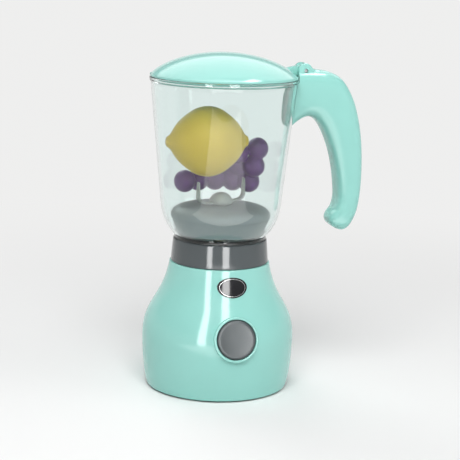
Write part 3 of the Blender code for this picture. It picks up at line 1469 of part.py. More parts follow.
def make_lid():
    """A thin dome with a skirt in the jar's mouth, and a tongue on the pin."""
    skirt = JAR_TOP_RADIUS - JAR_WALL - SKIRT_PLAY
    skirt_in = skirt - SKIRT_WALL
    profile = lid_outline(0, LID_RADIUS)
    profile += [(skirt, LID_Z), (skirt, LID_Z - SKIRT_DEPTH), (skirt_in, LID_Z - SKIRT_DEPTH)]
    profile += lid_outline(LID_WALL, skirt_in, 4)[::-1]
    lid = turned("lid", profile, MATERIALS["aqua"], FINE_STEPS, closed=False)
    high, low = HINGE_Z + TONGUE_ARM_RISE, HINGE_Z - TONGUE_ARM_DROP
    roots = [(lid_radius(z, LID_WALL / 2), z) for z in (high, low)]
    outline = arc((HINGE_REACH, HINGE_Z), TONGUE_RADIUS, 125, -52, 10) + [roots[1], roots[0]]
    half = TONGUE_WIDTH / 2
    tool = slab("lid_tongue", outline, -half, half)
    reach = half + OVERRUN
    pin_hole = across_rod("lid_pin_hole", PIN_RADIUS + GAP, (HINGE_REACH, HINGE_Z), -reach, reach)
    cut(fuse(lid, tool), pin_hole)
    lid.location = tool.location = pin_hole.location = (-HINGE_REACH, 0, -HINGE_Z)
    hang_on(HINGE_AXIS, lid, tool, pin_hole)


# Toy fruit


def make_lemon():
    """A smooth egg with a nub at each end, lying across the jar with its left end at the wall."""
    body = LEMON_LENGTH / 2 - LEMON_NUB
    start = math.asin(LEMON_NUB_RADIUS / LEMON_RADIUS)
    count = 10
    side = []
    for index in range(count + 1):
        angle = start + (math.pi - 2 * start) * index / count
        side.append((LEMON_RADIUS * math.sin(angle), body * math.cos(angle)))
    tip = LEMON_LENGTH / 2
    nub = [(0, tip), (LEMON_TIP_RADIUS, tip - LEMON_NUB / 3)]
    profile = nub + side + [(r, -z) for r, z in reversed(nub)]
    lemon = turned("lemon", profile, MATERIALS["lemon"], PLAIN_STEPS, closed=False)
    height = COLLAR_TOP_Z + LEMON_RISE
    rooms = []
    for up, front in ring_of(PLAIN_STEPS, 1):
        for radius, along in profile:
            wall = jar_flat(height + radius * up) - GAP
            rooms.append(math.sqrt(wall**2 - (LEMON_FRONT + radius * front) ** 2) - along)
    lemon.location = (-min(rooms), -LEMON_FRONT, height)
    lemon.rotation_euler = (0, math.radians(90), 0)
    return lemon


def make_grapes():
    """A bunch of balls in rows that follow the jar's back wall, grown together."""
    spots = []
    pitch = GRAPE_RADIUS * GRAPE_PITCH_SHARE
    for rise, room, first, count in GRAPE_ROW_SHARES:
        height = COLLAR_TOP_Z + GRAPE_RISE + rise * pitch
        reach = (jar_flat(height - GRAPE_RADIUS / 2) - GRAPE_RADIUS - GAP) * room
        for index in range(count):
            angle = math.radians(first) + GRAPE_SPREAD * index
            spots.append((reach * math.cos(angle), reach * math.sin(angle), height))
    balls = []
    for index, spot in enumerate(spots):
        bm = bmesh.new()
        turn = Matrix.Rotation(index, 4, "Z") @ Matrix.Rotation(index / 2, 4, "X")
        place = Matrix.Translation(spot) @ turn
        bmesh.ops.create_icosphere(bm, subdivisions=2, radius=GRAPE_RADIUS, matrix=place)
        name = "grapes" if index == 0 else f"grape_{index}"
        balls.append(add_object(name, mesh_from(bm, name), MATERIALS["grapes"] if index == 0 else None))
    return fuse(*balls)


def make_badge():
    return badge_layer("badge", 0, MATERIALS["black"])


MATERIAL_VALUES = {
    "aqua": (AQUA, 0.22),
    "dark_grey": (DARK_GREY, 0.35),
    "mid_grey": (MID_GREY, 0.40),
    "button_grey": (MID_GREY, 0.45),
    "pale_grey": (PALE_GREY, 0.50),
    "clear": (CLEAR, 0.05, 0.0, 0.9),
    "black": (BLACK, 0.20),
    "rubber": (BLACK, 0.80),
    "steel": (STEEL, 0.30, 1.0),
    "brass": (BRASS, 0.35, 1.0),
    "board": (BOARD_GREEN, 0.50),
    "cell": (PALE_GREY, 0.35),
    "lemon": (LEMON_YELLOW, 0.45),
    "grapes": (GRAPE_PURPLE, 0.40),
}


def main():
    make_base_shell()
    make_base_plate()
    make_battery_door()
    make_base_fasteners()
    make_batteries()
    make_battery_contacts()
    make_motor()
    make_motor_bracket()
    make_drive_dog()
    make_push_button()
    make_wiring()
    make_badge()
    make_jar()
    make_collar()
    make_bush()
    make_blade_seat()
    make_blades()
    make_handle_half("handle_front", -1)
    make_handle_half("handle_back", 1)
    make_handle_fasteners()
    make_lid()
    make_lemon()
    make_grapes()


clear_scene()
PARTS = new_collection("Toy blender")
CUTTERS = new_collection("Cutters")
BUTTON_AXIS = empty_at("button_axis", button_frame())
HINGE_AXIS = empty_at("hinge_axis", Matrix.Translation((HINGE_REACH, 0, HINGE_Z)))
MATERIALS = {name: finish(name, *values) for name, values in MATERIAL_VALUES.items()}
main()
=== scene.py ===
"""The look of a toy blender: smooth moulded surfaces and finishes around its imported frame.

Shapes are worked out in millimetres as numpy arrays and go into the meshes in metres. The frame's axes
hold: +Z up along the blender's axis, the push button towards -Y and the handle at +X.
"""

import math

import bmesh
import bpy
import numpy as np
from mathutils import Matrix, Vector


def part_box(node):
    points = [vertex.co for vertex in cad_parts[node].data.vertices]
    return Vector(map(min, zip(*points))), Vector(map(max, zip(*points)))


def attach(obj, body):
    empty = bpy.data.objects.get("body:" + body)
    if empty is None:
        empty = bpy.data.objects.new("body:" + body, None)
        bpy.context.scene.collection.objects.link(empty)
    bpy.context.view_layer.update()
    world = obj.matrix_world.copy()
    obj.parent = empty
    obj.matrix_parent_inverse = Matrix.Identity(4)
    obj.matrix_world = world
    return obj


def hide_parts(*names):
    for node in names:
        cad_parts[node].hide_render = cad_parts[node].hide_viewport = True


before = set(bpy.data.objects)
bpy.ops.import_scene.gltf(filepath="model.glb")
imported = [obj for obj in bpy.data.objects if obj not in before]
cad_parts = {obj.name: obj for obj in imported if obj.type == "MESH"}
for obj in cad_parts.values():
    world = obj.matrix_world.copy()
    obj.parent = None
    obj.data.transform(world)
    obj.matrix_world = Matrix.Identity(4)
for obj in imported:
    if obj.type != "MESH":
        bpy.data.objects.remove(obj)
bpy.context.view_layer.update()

MM = 0.001
ROUND_STEPS = 192
SMALL_ROUND_STEPS = 96
WELD = 1e-7
SHARP_TURN = math.radians(32)


# Sizes and places in mm, from the frame where a CAD node's box has them


def span(node):
    """A CAD node's lowest and highest corner at rest, in mm and rounded to a micron."""
    return np.round(np.array(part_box(node)) / MM, 3)


def middle(node):
    """The middle of a CAD node's box, in mm."""
    return np.round(span(node).mean(0), 4)


(_, _, PLATE_Z), (_, BELL_RADIUS, BASE_TOP_Z) = span("base_shell")
(_, _, SPIGOT_Z), (_, COLLAR_RADIUS, COLLAR_TOP_Z) = span("jar_collar")
(_, _, NECK_Z), (_, JAR_RADIUS, JAR_TOP_Z) = span("jar")
(_, _, SEAT_Z), (_, _, SEAT_TOP_Z) = span("blade_seat")
(_, _, BLADE_Z), _ = span("blade_set")
_, (_, LID_RADIUS, LID_TOP_Z) = span("lid")
HINGE_X, _, HINGE_Z = middle("hinge_pin")
_, _, BADGE_Z = middle("badge")

# GAP is the play between pieces that meet
GAP = 0.3
DECK_Z = 86.0
DECK_UNDER_Z = 83.6
WELL_RADIUS = 33.1
COLLAR_Z = BASE_TOP_Z + GAP
WEB_Z = 100.5
WEB_TOP_Z = 103.0
HUB_Z = 99.7
HUB_TOP_Z = 110.7
JAR_FOOT_Z = COLLAR_TOP_Z + GAP
LID_Z = JAR_TOP_Z + GAP
BUTTON_Z = 48.0
BUTTON_TILT = math.radians(12)


# Outlines


def bezier(corners, count):
    """A cubic Bezier curve: its four corners weighted by the Bernstein polynomials of t from 0 to 1."""
    t = np.linspace(0, 1, count)[:, None]
    weights = np.hstack([(1 - t) ** 3, 3 * (1 - t) ** 2 * t, 3 * (1 - t) * t**2, t**3])
    return weights @ np.array(corners, float)


def smooth_rows(rows, steps):
    """Catmull-Rom rows through the given ones: a cubic in t between each pair, sloped as its neighbours."""
    rows = np.array(rows, float)
    padded = np.vstack([rows[:1], rows, rows[-1:]])
    spans = len(rows) - 1
    a, b, c, d = (padded[shift : shift + spans, None, :] for shift in range(4))
    t = np.linspace(0, 1, steps, endpoint=False)[None, :, None]
    square, cube = a - 2.5 * b + 2 * c - d / 2, (3 * b - a - 3 * c + d) / 2
    curve = b + (c - a) * t / 2 + square * t**2 + cube * t**3
    return np.vstack([curve.reshape(-1, rows.shape[1]), rows[-1:]])


def rounded(outline, radius, closed=True, steps=5, least_turn=20):
    """An outline with each corner drawn out into a quadratic Bezier arc.

    The arc starts and ends radius / tan(half the inner angle) from the corner, at most 0.45 of the way to
    its neighbours, and leans on the corner. Points where the outline turns less than least_turn degrees
    stay.
    """
    p = np.array(outline, float)
    before, after = np.roll(p, 1, 0) - p, np.roll(p, -1, 0) - p
    lengths = np.linalg.norm(before, axis=1), np.linalg.norm(after, axis=1)
    u, v = before / lengths[0][:, None], after / lengths[1][:, None]
    half = np.arccos(np.clip((u * v).sum(1), -1, 1)) / 2
    pull = np.minimum(radius / np.tan(np.maximum(half, 1e-3)), 0.45 * np.minimum(*lengths))[:, None]
    sharp = np.degrees(np.pi - 2 * half) > least_turn
    if not closed:
        sharp[[0, -1]] = False
    t = np.linspace(0, 1, steps)[None, :, None]
    start, end = (p + u * pull)[:, None], (p + v * pull)[:, None]
    arcs = (1 - t) ** 2 * start + 2 * t * (1 - t) * p[:, None] + t**2 * end
    arcs[~sharp] = p[~sharp][:, None]
    return arcs[sharp[:, None] | (np.arange(steps) == 0)]


def inset(outline, depth):
    """An outline moved along its own normal (along, -across) by depth, with end slopes taken one-sided."""
    slope = np.gradient(np.array(outline, float), axis=0)
    slope /= np.linalg.norm(slope, axis=1)[:, None]
    return outline + depth * np.stack([slope[:, 1], -slope[:, 0]], -1)


def radius_at(outline, height):
    """The radius of a falling outline at a height, by straight interpolation."""
    order = np.argsort(outline[:, 1])
    return np.interp(height, outline[order, 1], outline[order, 0])


def superellipse(count, power):
    """The curve (cos a, sin a), each raised to 2 / power with its sign kept."""
    angle = 2 * np.pi * (np.arange(count) + 0.5) / count
    around = np.stack([np.cos(angle), np.sin(angle)], -1)
    return np.sign(around) * np.abs(around) ** (2 / power)


BELL_WIDEST = (BELL_RADIUS, 38.2)
BELL_UPPER = bezier([(37.4, BASE_TOP_Z - 0.8), (42.5, 64.7), (BELL_RADIUS, 62.2), BELL_WIDEST], 60)
BELL_LOWER = bezier([BELL_WIDEST, (BELL_RADIUS, 22.2), (55.2, 9.2), (53.0, PLATE_Z)], 28)
BELL = np.vstack([BELL_UPPER, BELL_LOWER[1:]])

JAR_WALL = 2.0
JAR_SHOULDER = (53.6, 227.6)
JAR_WAIST = (44.9, 140.0)
JAR_BOWL = bezier([JAR_WAIST, (43.44, 126.0), (39.57, 121.17), (32.8, JAR_FOOT_Z)], 30)
JAR_SIDE = np.vstack([np.linspace(JAR_SHOULDER, JAR_WAIST, 20)[:-1], JAR_BOWL])
JAR_INSIDE = inset(JAR_SIDE, JAR_WALL)


# Grids


def turned(profile, steps=ROUND_STEPS):
    """A surface of revolution: the profile point (r, h) at angle a goes to (r cos a, r sin a, h)."""
    angle = np.linspace(0, 2 * np.pi, steps, endpoint=False)
    r, h = profile[:, 0, None], profile[:, 1, None]
    return np.stack([r * np.cos(angle), r * np.sin(angle), h + 0 * angle], -1)


def capped(grid):
    """A grid with a pole at each end, in the middle of its first and of its last row."""
    first, last = grid[:1].mean(1, keepdims=True), grid[-1:].mean(1, keepdims=True)
    width = grid.shape[1]
    return np.concatenate([np.repeat(first, width, 1), grid, np.repeat(last, width, 1)])


def plate(outline, low, high, edge):
    """A flat (x, z) outline carried along Y from low to high, its rim rounded off by a quarter circle."""
    quarter = np.linspace(0, np.pi / 2, 5)
    centre = outline.mean(0)
    reach = np.linalg.norm(outline - centre, axis=1)[:, None]
    rows = []
    for pull, depth in zip(edge * (1 - np.sin(quarter)), edge * (1 - np.cos(quarter))):
        rows.append((centre + (outline - centre) * (1 - pull / reach), low + depth))
    rows += [(flat, low + high - y) for flat, y in rows[::-1]]
    grid = [np.stack([flat[:, 0], np.full(len(flat), y), flat[:, 1]], -1) for flat, y in rows]
    return capped(np.stack(grid))


def ribbon(path, width, thickness, power=5, count=24):
    """A bar along an (x, z) path: a superellipse of the given thickness across it and width along Y."""
    slope = np.gradient(path, axis=0)
    slope /= np.linalg.norm(slope, axis=1)[:, None]
    normal = np.stack([slope[:, 1], -slope[:, 0]], -1)
    across, along = superellipse(count, power).T
    flat = path[:, None] + normal[:, None] * (np.array(thickness) / 2)[..., None, None] * across[:, None]
    y = (np.array(width) / 2)[..., None] * along + 0 * flat[..., 0]
    return capped(np.stack([flat[..., 0], y, flat[..., 1]], -1))


def turned_about_z(grid, degrees):
    """A grid turned about the Z axis."""
    turn = np.array(Matrix.Rotation(math.radians(degrees), 3, "Z"))
    return grid @ turn.T


def placed(grid, matrix):
    """A grid moved by a 4 x 4 matrix."""
    matrix = np.array(matrix)
    return grid @ matrix[:3, :3].T + matrix[:3, 3]


def ring(profile, steps=SMALL_ROUND_STEPS):
    """A closed profile turned into a ring: its first row follows its last."""
    return turned(np.vstack([profile, profile[:1]]), steps)


# Meshes


def mesh_object(name, grids):
    """One object from grids of points in mm; doubles are merged, and faces point outwards."""
    points, faces, start = [], [], 0
    for grid in grids:
        rows, columns = grid.shape[:2]
        i, j = np.meshgrid(np.arange(rows - 1), np.arange(columns), indexing="ij")
        row, next_row, next_j = i * columns, (i + 1) * columns, (j + 1) % columns
        quads = [row + j, next_row + j, next_row + next_j, row + next_j]
        faces.append(np.stack(quads, -1).reshape(-1, 4) + start)
        points.append(grid.reshape(-1, 3))
        start += rows * columns
    mesh = bpy.data.meshes.new(name)
    mesh.from_pydata((np.vstack(points) * MM).tolist(), [], np.vstack(faces).tolist())
    bm = bmesh.new()
    bm.from_mesh(mesh)
    bmesh.ops.remove_doubles(bm, verts=bm.verts, dist=WELD)
    bmesh.ops.dissolve_degenerate(bm, edges=bm.edges, dist=WELD)
    bmesh.ops.recalc_face_normals(bm, faces=bm.faces)
    bm.to_mesh(mesh)
    bm.free()
    obj = bpy.data.objects.new(name, mesh)
    bpy.context.scene.collection.objects.link(obj)
    return obj


def applied(obj):
    """Writes an object's modifiers into its mesh."""
    bpy.context.view_layer.update()
    evaluated = obj.evaluated_get(bpy.context.evaluated_depsgraph_get())
    mesh = bpy.data.meshes.new_from_object(evaluated)
    obj.modifiers.clear()
    obj.data = mesh
    return obj


def combine(obj, tools, operation="DIFFERENCE"):
    """Cuts tools out of an object, or joins them to it, one after another."""
    for tool in tools:
        modifier = obj.modifiers.new("Combine", "BOOLEAN")
        modifier.operation = operation
        modifier.solver = "EXACT"
        modifier.object = tool
        applied(obj)
        bpy.data.objects.remove(tool, do_unlink=True)
    return obj


def dress(obj, material, body, slot, *nodes, sharp=SHARP_TURN):
    """Smooth shading, a material, the body that a piece rides on and the CAD nodes that it stands for."""
    obj.data.materials.clear()
    obj.data.materials.append(material)
    obj.data.polygons.foreach_set("use_smooth", np.ones(len(obj.data.polygons), bool))
    obj.data.set_sharp_from_angle(angle=sharp)
    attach(obj, body)
    if nodes:
        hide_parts(*nodes)
    return obj


# Materials


DRIFT_SCALE = 26.0
SMUDGE_SCALE = 70.0
GRAIN_DISTANCE = 0.0002


def new_material(name, **sockets):
    """A Principled material with plain numbers on its sockets."""
    material = bpy.data.materials.new(name)
    material.use_nodes = True
    shader = material.node_tree.nodes["Principled BSDF"]
    for socket, value in sockets.items():
        shader.inputs[socket.replace("_", " ")].default_value = value
    return material


def moulded_group():
    """A moulded skin: a slow drift of the colour, smudges in the gloss and a fine grain."""
    group = bpy.data.node_groups.new("Moulded skin", "ShaderNodeTree")
    colour, number, vector = "NodeSocketColor", "NodeSocketFloat", "NodeSocketVector"
    for name, kind, value in (
        ("Colour", colour, (0.8, 0.8, 0.8, 1)),
        ("Drift", number, 0.06),
        ("Gloss", number, 0.2),
        ("Smudge", number, 0.08),
        ("Grain size", number, 900.0),
        ("Grain depth", number, 0.1),
    ):
        group.interface.new_socket(name, in_out="INPUT", socket_type=kind).default_value = value
    for name, kind in (("Colour", colour), ("Roughness", number), ("Normal", vector)):
        group.interface.new_socket(name, in_out="OUTPUT", socket_type=kind)
    nodes, links = group.nodes, group.links
    given, result = nodes.new("NodeGroupInput"), nodes.new("NodeGroupOutput")
    place = nodes.new("ShaderNodeTexCoord").outputs["Object"]

    def noise(scale, detail, rough):
        """A noise in the piece's own coordinates; its scale is a number or a socket."""
        texture = nodes.new("ShaderNodeTexNoise")
        texture.inputs["Detail"].default_value = detail
        texture.inputs["Roughness"].default_value = rough
        links.new(place, texture.inputs["Vector"])
        if isinstance(scale, (int, float)):
            texture.inputs["Scale"].default_value = scale
        else:
            links.new(scale, texture.inputs["Scale"])
        return texture.outputs["Fac"]

    def varied(start, factor, change):
        """start + factor * (change - 0.5), where start is a number or a socket."""
        centred = nodes.new("ShaderNodeMath")
        centred.operation = "SUBTRACT"
        links.new(change, centred.inputs[0])
        centred.inputs[1].default_value = 0.5
        total = nodes.new("ShaderNodeMath")
        total.operation = "MULTIPLY_ADD"
        links.new(centred.outputs[0], total.inputs[0])
        links.new(factor, total.inputs[1])
        if isinstance(start, (int, float)):
            total.inputs[2].default_value = start
        else:
            links.new(start, total.inputs[2])
        return total.outputs[0]

    hue = nodes.new("ShaderNodeHueSaturation")
    links.new(given.outputs["Colour"], hue.inputs["Color"])
    links.new(varied(1.0, given.outputs["Drift"], noise(DRIFT_SCALE, 3.0, 0.5)), hue.inputs["Value"])
    links.new(hue.outputs["Color"], result.inputs["Colour"])
    gloss = varied(given.outputs["Gloss"], given.outputs["Smudge"], noise(SMUDGE_SCALE, 5.0, 0.6))
    links.new(gloss, result.inputs["Roughness"])
    bump = nodes.new("ShaderNodeBump")
    bump.inputs["Distance"].default_value = GRAIN_DISTANCE
    links.new(given.outputs["Grain depth"], bump.inputs["Strength"])
    links.new(noise(given.outputs["Grain size"], 2.0, 0.5), bump.inputs["Height"])
    links.new(bump.outputs["Normal"], result.inputs["Normal"])
    return group


SKIN = moulded_group()


def moulded(name, colour, gloss, drift=0.05, smudge=0.08, size=900.0, depth=0.1, **sockets):
    """A Principled material whose colour, roughness and normal come from the moulded skin."""
    material = new_material(name, **sockets)
    tree = material.node_tree
    shader = tree.nodes["Principled BSDF"]
    skin = tree.nodes.new("ShaderNodeGroup")
    skin.node_tree = SKIN
    values = {"Colour": (*colour, 1), "Drift": drift, "Gloss": gloss, "Smudge": smudge}
    for socket, value in {**values, "Grain size": size, "Grain depth": depth}.items():
        skin.inputs[socket].default_value = value
    tree.links.new(skin.outputs["Colour"], shader.inputs["Base Color"])
    tree.links.new(skin.outputs["Roughness"], shader.inputs["Roughness"])
    tree.links.new(skin.outputs["Normal"], shader.inputs["Normal"])
    return material


AQUA = moulded("Aqua moulding", (0.29, 0.625, 0.565), 0.12, smudge=0.05, IOR=1.5)
COLLAR_GREY = moulded("Grey collar", (0.075, 0.087, 0.092), 0.09, smudge=0.05, IOR=1.5)
BUTTON_GREY = moulded("Grey button", (0.058, 0.069, 0.073), 0.36, size=1500.0, depth=0.25)
SEAT_GREY = moulded("Pale seat", (0.235, 0.268, 0.273), 0.4)
BLADE_GREY = moulded("Grey blades", (0.33, 0.35, 0.33), 0.3)
PALE_GREY = moulded("Pale inner moulding", (0.45, 0.47, 0.48), 0.5)
DARK_GREY = moulded("Dark underside", (0.12, 0.125, 0.13), 0.42, size=1400.0, depth=0.3)
BLACK = moulded("Black badge", (0.012, 0.012, 0.014), 0.12, Coat_Weight=0.15, Coat_Roughness=0.04)
BADGE_LINE = moulded("Silver badge line", (0.62, 0.63, 0.63), 0.3, Metallic=0.7)
RUBBER = moulded("Black rubber", (0.012, 0.012, 0.013), 0.8, size=1800.0, depth=0.5)
STEEL = moulded("Plated steel", (0.62, 0.63, 0.64), 0.28, drift=0.1, smudge=0.16, Metallic=1.0)
BRASS = moulded("Turned brass", (0.70, 0.55, 0.28), 0.32, drift=0.1, smudge=0.16, Metallic=1.0)
BOARD = moulded("Green board", (0.05, 0.25, 0.12), 0.4)
CELL = moulded("Cell sleeve", (0.45, 0.47, 0.48), 0.3, drift=0.12)
LEMON = moulded("Lemon skin", (0.70, 0.48, 0.03), 0.42, drift=0.16, size=700.0, depth=0.8)
GRAPE = moulded("Grape skin", (0.14, 0.032, 0.22), 0.34, drift=0.4, size=800.0, depth=0.3)
CLEAR = moulded(
    "Clear wall",
    (0.90, 0.965, 0.955),
    0.03,
    drift=0.01,
    smudge=0.03,
    depth=0.015,
    IOR=1.49,
    Transmission_Weight=1.0,
)

for cad_material, names in (
    (STEEL, "battery_door_screw base_screw_1 base_screw_2 base_screw_3 base_screw_4 contact_bridge"),
    (STEEL, "contact_spring_plate contact_flat_plate motor bracket_screw_1 bracket_screw_2"),
    (STEEL, "board_screw_1 board_screw_2 motor_shaft handle_screw_1 handle_screw_2 handle_screw_3"),
    (STEEL, "hinge_pin blade_shaft"),
    (BRASS, "shaft_bush"),
    (DARK_GREY, "base_plate battery_door"),
    (RUBBER, "rubber_foot_1 rubber_foot_2 rubber_foot_3 rubber_foot_4 switch_plunger"),
    (PALE_GREY, "motor_bracket drive_dog blade_coupler"),
    (SEAT_GREY, "seat_sleeve"),
    (BLACK, "button_switch lead_cell_to_switch lead_switch_to_motor lead_cell_to_motor"),
    (BOARD, "switch_board"),
    (CELL, "battery_front battery_back"),
):
    for node in names.split():
        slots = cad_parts[node].data.materials
        slots.clear()
        slots.append(cad_material)


# Base

SHELL_WALL = 2.2
SHELL_EDGE = 0.5
LIP_RADIUS = 37.3
LIP_EDGE = 0.9
MOTOR_HOLE_RADIUS = 3.4

BUTTON_PLACE = Matrix.Translation((0, -float(radius_at(BELL, BUTTON_Z)), BUTTON_Z))
BUTTON_FRAME = BUTTON_PLACE @ Matrix.Rotation(math.radians(90) - BUTTON_TILT, 4, "X")
BEZEL_RADIUS = 16.5
BEZEL_PROUD = 0.12
BEZEL_DEPTH = 8.0
BEZEL_LAP = 0.5
BEZEL_EDGE = 0.8
BORE_RADIUS = 14.6
BUTTON_RADIUS = 14.2
BUTTON_PROUD = 0.95
_, (BUTTON_FLANGE_RADIUS, _, _) = span("push_button")

BADGE_WIDTH, _, BADGE_HEIGHT = np.ptp(span("badge"), axis=0)
BADGE_ROLL = 0.05


def base_bell():
    """The housing: the bell's two Bezier curves, a rounded lip, the well and its deck, turned about Z."""
    inner = inset(BELL, SHELL_WALL)[::-1]
    inner = inner[inner[:, 1] < DECK_UNDER_Z]
    lip = [(WELL_RADIUS, BASE_TOP_Z), (LIP_RADIUS, BASE_TOP_Z)]
    deck = [(MOTOR_HOLE_RADIUS, DECK_UNDER_Z), (MOTOR_HOLE_RADIUS, DECK_Z), (WELL_RADIUS, DECK_Z)]
    outline = np.vstack([lip, BELL[1:], inner, deck])
    radii = np.full(len(outline), SHELL_EDGE)
    radii[1] = LIP_EDGE
    shell = mesh_object("base_bell", [ring(rounded(outline, radii), ROUND_STEPS)])
    hole_radius, above, below = BEZEL_RADIUS - BEZEL_LAP, 12, -20
    plug = np.array([(0, above), (hole_radius, above), (hole_radius, below), (0, below)])
    hole = mesh_object("button_opening", [placed(turned(plug, SMALL_ROUND_STEPS), BUTTON_FRAME)])
    return combine(shell, [hole])


def button_bezel():
    """The ring round the button: a rounded rectangle in (radius, height) about the button's axis."""
    top, bottom = BEZEL_PROUD, -BEZEL_DEPTH
    section = [(BORE_RADIUS, top), (BEZEL_RADIUS, top), (BEZEL_RADIUS, bottom), (BORE_RADIUS, bottom)]
    return mesh_object("button_bezel", [placed(ring(rounded(section, BEZEL_EDGE)), BUTTON_FRAME)])


def button_cap():
    """The button: a dished face, a rounded rim, a flanged skirt and a stem, about the button's axis."""
    face, dish, rim_radius = BUTTON_PROUD, 0.7, 12.2
    skirt_z, flange_z, stem_z, inside_z = -7.7, -8.9, -9.2, -1.5
    skirt_inside, stem_radius = 12.6, 2.8
    hollow = [(0, face - dish), (6.5, face - dish), (9.5, face - dish / 2), (rim_radius, face)]
    roll = [(rim_radius, face), (13.3, face), (BUTTON_RADIUS, face - 0.6), (BUTTON_RADIUS, face - 1.6)]
    skirt = [(BUTTON_RADIUS, skirt_z), (BUTTON_FLANGE_RADIUS, skirt_z), (BUTTON_FLANGE_RADIUS, flange_z)]
    inside = [(skirt_inside, flange_z), (skirt_inside, inside_z)]
    stem = [(stem_radius, inside_z), (stem_radius, stem_z), (0, stem_z)]
    outline = np.vstack([bezier(hollow, 14), bezier(roll, 10)[1:], skirt, inside, stem])
    return mesh_object("button_cap", [placed(turned(outline, SMALL_ROUND_STEPS), BUTTON_FRAME)])


def badge_patch(name, inner, outer, proud, depth):
    """An oval band of the bell's skin: at share s of the oval and angle a, x = s A cos a, z = s B sin a.

    Its face stands proud of the bell and rolls off to its rim as a quarter circle.
    """
    angle = np.linspace(0, 2 * np.pi, SMALL_ROUND_STEPS, endpoint=False)
    roll = np.linspace(0, np.pi / 2, 6)
    level = np.linspace(outer - BADGE_ROLL, inner, 8)[1:]
    shares = np.concatenate([[outer, outer], outer - BADGE_ROLL * (1 - np.cos(roll)), level])
    heights = np.concatenate([[-depth, 0], proud * np.sin(roll), np.full(len(level), proud)])
    if inner:
        shares, heights = np.append(shares, inner), np.append(heights, -depth)
    x = shares[:, None] * BADGE_WIDTH / 2 * np.cos(angle)
    z = BADGE_Z + shares[:, None] * BADGE_HEIGHT / 2 * np.sin(angle)
    reach = radius_at(BELL, z) + heights[:, None]
    grid = np.stack([x, -np.sqrt(reach**2 - x**2), z], -1)
    if inner:
        return mesh_object(name, [np.concatenate([grid, grid[:1]])])
    back = grid[:1].mean(1, keepdims=True)
    return mesh_object(name, [np.concatenate([np.repeat(back, len(angle), 1), grid])])


dress(base_bell(), AQUA, "base", "aqua_plastic", "base_shell")
dress(button_bezel(), AQUA, "base", "aqua_plastic")
dress(button_cap(), BUTTON_GREY, "button", "mid_grey_plastic", "push_button")
badge_plate = badge_patch("badge_plate", inner=0.0, outer=1.0, proud=0.5, depth=0.5)
dress(badge_plate, BLACK, "base", "black_plastic", "badge")
badge_border = badge_patch("badge_border", inner=0.86, outer=0.89, proud=0.56, depth=0.1)
dress(badge_border, BADGE_LINE, "base", "black_plastic")


# Jar

JAR_BAND_Z = 228.6
JAR_EDGE = 0.5
BEAD_RADIUS = 34.2
BEAD_Z = 115.2
NECK_RADIUS = 31.5

COLLAR_TOP_RADIUS = 34.9
COLLAR_EDGE = 0.7
COLLAR_TOP_EDGE = 1.3
SPIGOT_RADIUS = WELL_RADIUS - GAP
SPIGOT_WALL = 2.0
HUB_RADIUS = 7.5
HUB_BORE_RADIUS = 4.5

SEAT_WALL = 2.0
SEAT_BORE_RADIUS = 6.7
SEAT_EDGE = 0.5

BLADE_TURN = 24
BLADE_HUB_RADIUS = 8.8
BLADE_HUB_EDGE = 0.5
ARM_REACH = 21.2
ARM_RISE = 16.2

LEMON_LENGTH, _, LEMON_HEIGHT = np.ptp(span("lemon"), axis=0)
GRAPE_RADIUS = 8.5
GRAPE_PITCH = 1.55 * GRAPE_RADIUS
GRAPE_Z = COLLAR_TOP_Z + 38.1
GRAPE_SPREAD = 23
GRAPE_ROWS = ((0.0, 1.0, 38, 5), (0.95, 0.93, 28, 4), (1.75, 0.62, 45, 4), (1.95, 0.97, 27, 1))
CAD_JAR_FLATS = 28


def jar_wall():
    """The clear jar: a taper, the bowl's curve and a neck, with a rim band and a bead at its foot."""
    neck_inside, soft = NECK_RADIUS - JAR_WALL, 0.5
    rim = [(JAR_RADIUS - 1.6, JAR_TOP_Z), (JAR_RADIUS, JAR_TOP_Z), (JAR_RADIUS, JAR_BAND_Z)]
    side = JAR_SIDE[JAR_SIDE[:, 1] > BEAD_Z + 0.4]
    bead = [(BEAD_RADIUS - soft, BEAD_Z), (BEAD_RADIUS, BEAD_Z - soft), (BEAD_RADIUS, JAR_FOOT_Z)]
    neck = [(NECK_RADIUS, JAR_FOOT_Z), (NECK_RADIUS, NECK_Z), (neck_inside, NECK_Z)]
    mouth = [(JAR_SHOULDER[0] - JAR_WALL, JAR_TOP_Z)]
    outline = np.vstack([rim, side, bead, neck, [(neck_inside, JAR_FOOT_Z)], JAR_INSIDE[::-1], mouth])
    return mesh_object("jar_wall", [ring(rounded(outline, JAR_EDGE), ROUND_STEPS)])


def collar_ring():
    """The grey collar: a tapered wall with soft edges, its spigot, web and hub, turned about Z."""
    spigot_inside, socket_radius = SPIGOT_RADIUS - SPIGOT_WALL, NECK_RADIUS + GAP
    outside = [(COLLAR_TOP_RADIUS, COLLAR_TOP_Z), (COLLAR_RADIUS, COLLAR_Z)]
    spigot = [(SPIGOT_RADIUS, COLLAR_Z), (SPIGOT_RADIUS, SPIGOT_Z), (spigot_inside, SPIGOT_Z)]
    hub = [(spigot_inside, WEB_Z), (HUB_RADIUS, WEB_Z), (HUB_RADIUS, HUB_Z), (HUB_BORE_RADIUS, HUB_Z)]
    hub += [(HUB_BORE_RADIUS, HUB_TOP_Z), (HUB_RADIUS, HUB_TOP_Z), (HUB_RADIUS, WEB_TOP_Z)]
    socket = [(socket_radius, WEB_TOP_Z), (socket_radius, COLLAR_TOP_Z)]
    outline = outside + spigot + hub + socket
    radii = np.full(len(outline), COLLAR_EDGE)
    radii[0] = COLLAR_TOP_EDGE
    return mesh_object("collar_ring", [ring(rounded(outline, radii), ROUND_STEPS)])


